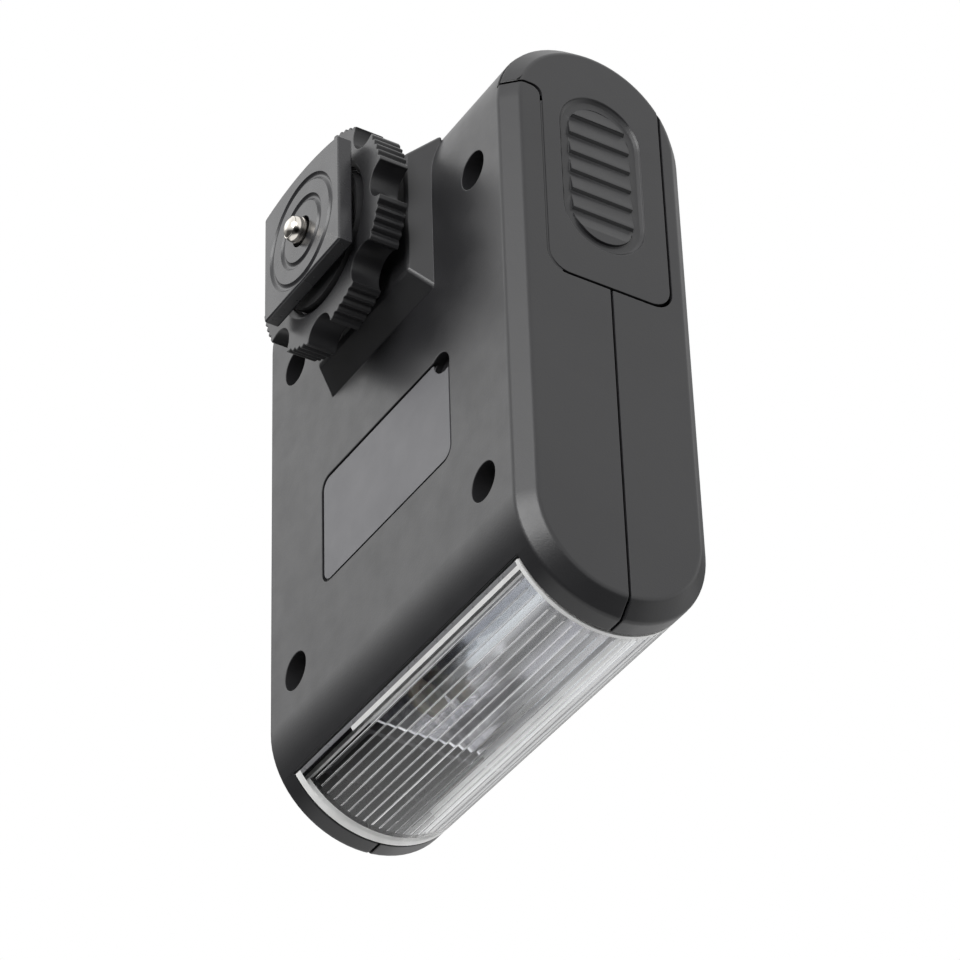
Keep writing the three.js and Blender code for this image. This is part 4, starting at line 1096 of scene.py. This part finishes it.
def build_tube():
    left, right = MIRROR_LOW.x + 1.2, MIRROR_HIGH.x + 5
    wall = 0.28
    glass = cut(
        cylinder(TUBE_RADIUS, left, right, TUBE_Y, MIDDLE_Z, "X", 40),
        cylinder(TUBE_RADIUS - wall, left + 0.8, right - 0.8, TUBE_Y, MIDDLE_Z, "X", 32),
        *[cylinder(0.42, x - 1, x + 1, TUBE_Y, MIDDLE_Z, "X", 20) for x in (left, right)],
    )
    finished(glass, "tube_glass", "case", "tube_glass", "flash_tube", 0.05)
    inside = TUBE_RADIUS - wall - 0.12
    cathode = lathe([
        (0, TUBE_HIGH.x), (0.36, TUBE_HIGH.x), (0.36, right - 1.6), (inside, right - 1.8),
        (inside, right - 4.6), (0.3, right - 4.8), (0, right - 4.8),
    ], TUBE_Y, MIDDLE_Z, "X", 28)
    finished(cathode, "tube_cathode", "case", "silicone", edge=0.06)
    anode = lathe([
        (0, TUBE_LOW.x), (0.36, TUBE_LOW.x), (0.36, left + 3.6), (0, left + 3.8),
    ], TUBE_Y, MIDDLE_Z, "X", 24)
    finished(anode, "tube_anode", "case", "steel", edge=0.04)


def build_baffle():
    """The black chamber beside the reflector, open to the lens, round the tube's far end."""
    low, high = span("lamp_baffle")
    wall = 0.8
    heights = (low.z + wall, high.z - wall)
    screw_x, screw_y = max(SCREWS, key=lambda place: place[0] - place[1])
    tools = [
        box((low.x + wall, high.x - wall), (low.y - 1, high.y - wall), heights),
        cylinder(TUBE_HOLE, low.x - 1, low.x + 2, TUBE_Y, MIDDLE_Z, "X", 32),
        cylinder(BOSS_RADIUS + GAP, 0, BOSS_TOP_Z + GAP, screw_x, screw_y, "Z", 32),
    ]
    for rise in (-4, 1.5):
        heights = (MIDDLE_Z + rise, MIDDLE_Z + rise + 2.5)
        tools.append(box((low.x + 5.5, high.x - 2), (high.y - 2, high.y + 1), heights))
    chamber = cut(box(*zip(low, high)), *tools)
    finished(chamber, "lamp_chamber", "case", "black_plastic", "lamp_baffle", 0.12, "baffle")


# ---------- controls ----------
def build_panel():
    outline = rounded_rectangle(PANEL_X, BUTTON_Y, PANEL_WIDTH, PANEL_HEIGHT, 1.8, 10)
    plate = cut(prism(outline, PANEL_LOW.z, PANEL_HIGH.z, "Z"), *control_holes())
    finished(plate, "control_panel", "case", "black_plastic", "control_plate", 0.08)


def build_button():
    low, top = BUTTON_LOW.z, BUTTON_HIGH.z
    flange = BUTTON_RADIUS + 0.9
    button = lathe([
        (0, low), (flange, low), (flange, CEILING_Z - GAP), (BUTTON_RADIUS, CEILING_Z - GAP),
        (BUTTON_RADIUS, top - 0.5), (BUTTON_RADIUS - 0.15, top - 0.15), (BUTTON_RADIUS - 0.5, top),
        (BUTTON_RADIUS - 1.0, top - 0.03), (1.2, top - 0.28), (0, top - 0.32),
    ], BUTTON_X, BUTTON_Y, "Z", 56)
    finished(button, "flash_button", "test_button", "black_plastic", "test_button", 0, "wheel")


def build_knob():
    """The slide switch's knob, with four grooves across its top."""
    ys = (BUTTON_Y - 1.1, BUTTON_Y + 1.1)
    stem = box((KNOB_X - 1.5, KNOB_X + 1.5), ys, (KNOB_LOW.z, TOP_Z - 0.4))
    outline = rounded_rectangle(KNOB_X, BUTTON_Y, 5.2, 3.0, 0.5)
    cap = prism(outline, TOP_Z - 1.5, KNOB_HIGH.z, "Z")
    grooves = []
    for x in (KNOB_X - 1.8, KNOB_X - 0.6, KNOB_X + 0.6, KNOB_X + 1.8):
        grooves.append(cylinder(0.32, BUTTON_Y - 2, BUTTON_Y + 2, x, KNOB_HIGH.z + 0.05, "Y", 16))
    knob = cut(join(stem, cap), *grooves)
    node = "power_switch_knob"
    finished(knob, "switch_knob", "power_switch", "black_plastic", node, 0.07, "wheel")


# ---------- CAD pieces that stay, with finer edges and finishes ----------
def dress_cad_nodes():
    slots = {part["node"]: part["material_slot"] for part in frame["record"]["subparts"]}
    hidden = {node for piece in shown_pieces() for node in piece.get("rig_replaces", [])}
    for name, node in frame["nodes"].items():
        if name in hidden:
            continue
        node.data.materials.clear()
        node.data.materials.append(LOOKS[slots[name]])
        bevel(node, 0.08 * MM, 2, 35)
        shade_smooth(node.data, 40)


# ---------- light, floor and camera ----------
CAMERA_PLACE = Vector((-0.330487, -0.319681, -0.186387))
CAMERA_RIGHT = Vector((-0.521057, -0.027329, 0.853084))
CAMERA_UP = Vector((-0.526058, 0.797360, -0.295769))
CAMERA_FORWARD = Vector((0.672133, 0.602884, 0.429847))
LENS_LENGTH = 151.45


def toward(right, up, forward):
    """A direction given as the camera sees it."""
    return right * CAMERA_RIGHT + up * CAMERA_UP + forward * CAMERA_FORWARD


def build_camera():
    data = bpy.data.cameras.new("camera")
    data.lens = LENS_LENGTH
    data.sensor_width = 36
    data.clip_start = 0.01
    camera = bpy.data.objects.new("camera", data)
    turn = Matrix((CAMERA_RIGHT, CAMERA_UP, -CAMERA_FORWARD)).transposed()
    camera.matrix_world = Matrix.Translation(CAMERA_PLACE) @ turn.to_4x4()
    SCENE.collection.objects.link(camera)
    SCENE.camera = camera


def build_softbox():
    """A weak softbox beyond the object, up and to the left in the picture."""
    target = Vector((0, -0.02, 0.02))
    place = target + 0.8 * toward(-0.80, 0.36, 0.48)
    data = bpy.data.lights.new("left_softbox", "AREA")
    data.shape = "RECTANGLE"
    data.size = data.size_y = 0.45
    data.energy = 0.3
    light = bpy.data.objects.new("left_softbox", data)
    light.location = place
    light.visible_camera = False
    light.rotation_euler = (target - place).to_track_quat("-Z", "Y").to_euler()
    SCENE.collection.objects.link(light)


# Each patch of light in the tent: the way to it from the object, the cosines of the angles from
# that way at which it begins and is full, and its strength.
TENT_LIGHTS = (
    (-CAMERA_UP, 0.50, 0.80, 0.85),
    (toward(0.93, -0.30, 0.20), 0.70, 0.96, 0.8),
    (toward(0.27, -0.50, 0.82), 0.86, 0.97, 0.6),
    (toward(-0.78, 0.32, 0.54), 0.75, 0.97, 0.3),
    (toward(-0.42, 0.70, -0.58), 0.88, 0.99, 6.5),
)


def build_world():
    """A white tent, as reflections see it. In the picture it is pale above and below and dim at
    the sides, with a bright patch behind the camera, up and to its left, and the camera dark."""
    world = bpy.data.worlds.new("studio")
    SCENE.world = world
    world.use_nodes = True
    node, link = world.node_tree.nodes.new, world.node_tree.links.new
    world.node_tree.nodes.clear()
    place = node("ShaderNodeTexCoord")

    def blend(direction, start, end, at_start, at_end):
        """Runs smoothly between two values as the cosine to a direction goes from start to end."""
        dot = node("ShaderNodeVectorMath")
        dot.operation = "DOT_PRODUCT"
        dot.inputs[1].default_value = direction.normalized()
        link(place.outputs["Generated"], dot.inputs[0])
        spread = node("ShaderNodeMapRange")
        spread.interpolation_type = "SMOOTHSTEP"
        settings = {"From Min": start, "From Max": end, "To Min": at_start, "To Max": at_end}
        for key, value in settings.items():
            spread.inputs[key].default_value = value
        link(dot.outputs["Value"], spread.inputs["Value"])
        return spread.outputs["Result"]

    def calculate(operation, one, two):
        made = node("ShaderNodeMath")
        made.operation = operation
        link(one, made.inputs[0])
        link(two, made.inputs[1])
        return made.outputs["Value"]

    strength = blend(CAMERA_UP, -0.10, 0.35, 0.06, 1.0)
    for direction, start, end, amount in TENT_LIGHTS:
        strength = calculate("ADD", strength, blend(direction, start, end, 0.0, amount))
    strength = calculate("MULTIPLY", strength, blend(-CAMERA_FORWARD, 0.80, 0.97, 1.0, 0.05))
    lighting = node("ShaderNodeBackground")
    lighting.inputs["Color"].default_value = (1, 1, 1, 1)
    link(strength, lighting.inputs["Strength"])
    seen = node("ShaderNodeBackground")
    seen.inputs["Color"].default_value = (1, 1, 1, 1)
    rays = node("ShaderNodeLightPath")
    mix = node("ShaderNodeMixShader")
    link(rays.outputs["Is Camera Ray"], mix.inputs["Fac"])
    link(lighting.outputs["Background"], mix.inputs[1])
    link(seen.outputs["Background"], mix.inputs[2])
    output = node("ShaderNodeOutputWorld")
    link(mix.outputs["Shader"], output.inputs["Surface"])


def build_floor():
    """A plain pale sweep, well under the object, with a soft rolled rim."""
    rings = [(0.0, 0.0), (1.2, 0.0), (1.5, 0.004), (1.6, 0.012)]
    work = bmesh.new()
    segments = 96
    middle = work.verts.new((0, 0, 0))
    previous = None
    for radius, rise in rings[1:]:
        ring = []
        for i in range(segments):
            angle = 2 * math.pi * i / segments
            ring.append(work.verts.new((radius * math.cos(angle), radius * math.sin(angle), rise)))
        for i in range(segments):
            j = (i + 1) % segments
            if previous is None:
                work.faces.new((middle, ring[i], ring[j]))
            else:
                work.faces.new((previous[i], ring[i], ring[j], previous[j]))
        previous = ring
    floor = to_object(work, closed=False)
    floor.name = "floor"
    floor.location = (0, 0, -0.30)
    greys = ((0.80, 0.80, 0.80), (0.84, 0.84, 0.84), 8)
    look = make_look("floor_paper", greys, (0.75, 0.9, 40), ((400, 3.0), 0.1, 0.0002))
    floor.data.materials.append(look.material)
    for ray in ("glossy", "diffuse", "transmission", "shadow"):
        setattr(floor, f"visible_{ray}", False)
    floor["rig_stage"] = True


def main():
    for build in (
        build_case, build_label, build_door, build_foot, build_wheel, build_pin, build_spring,
        build_lens, build_reflector, build_tube, build_baffle, build_panel, build_button,
        build_knob, dress_cad_nodes, build_world, build_floor, build_softbox, build_camera,
    ):
        build()
    SCENE.view_settings.view_transform = "Standard"


main()
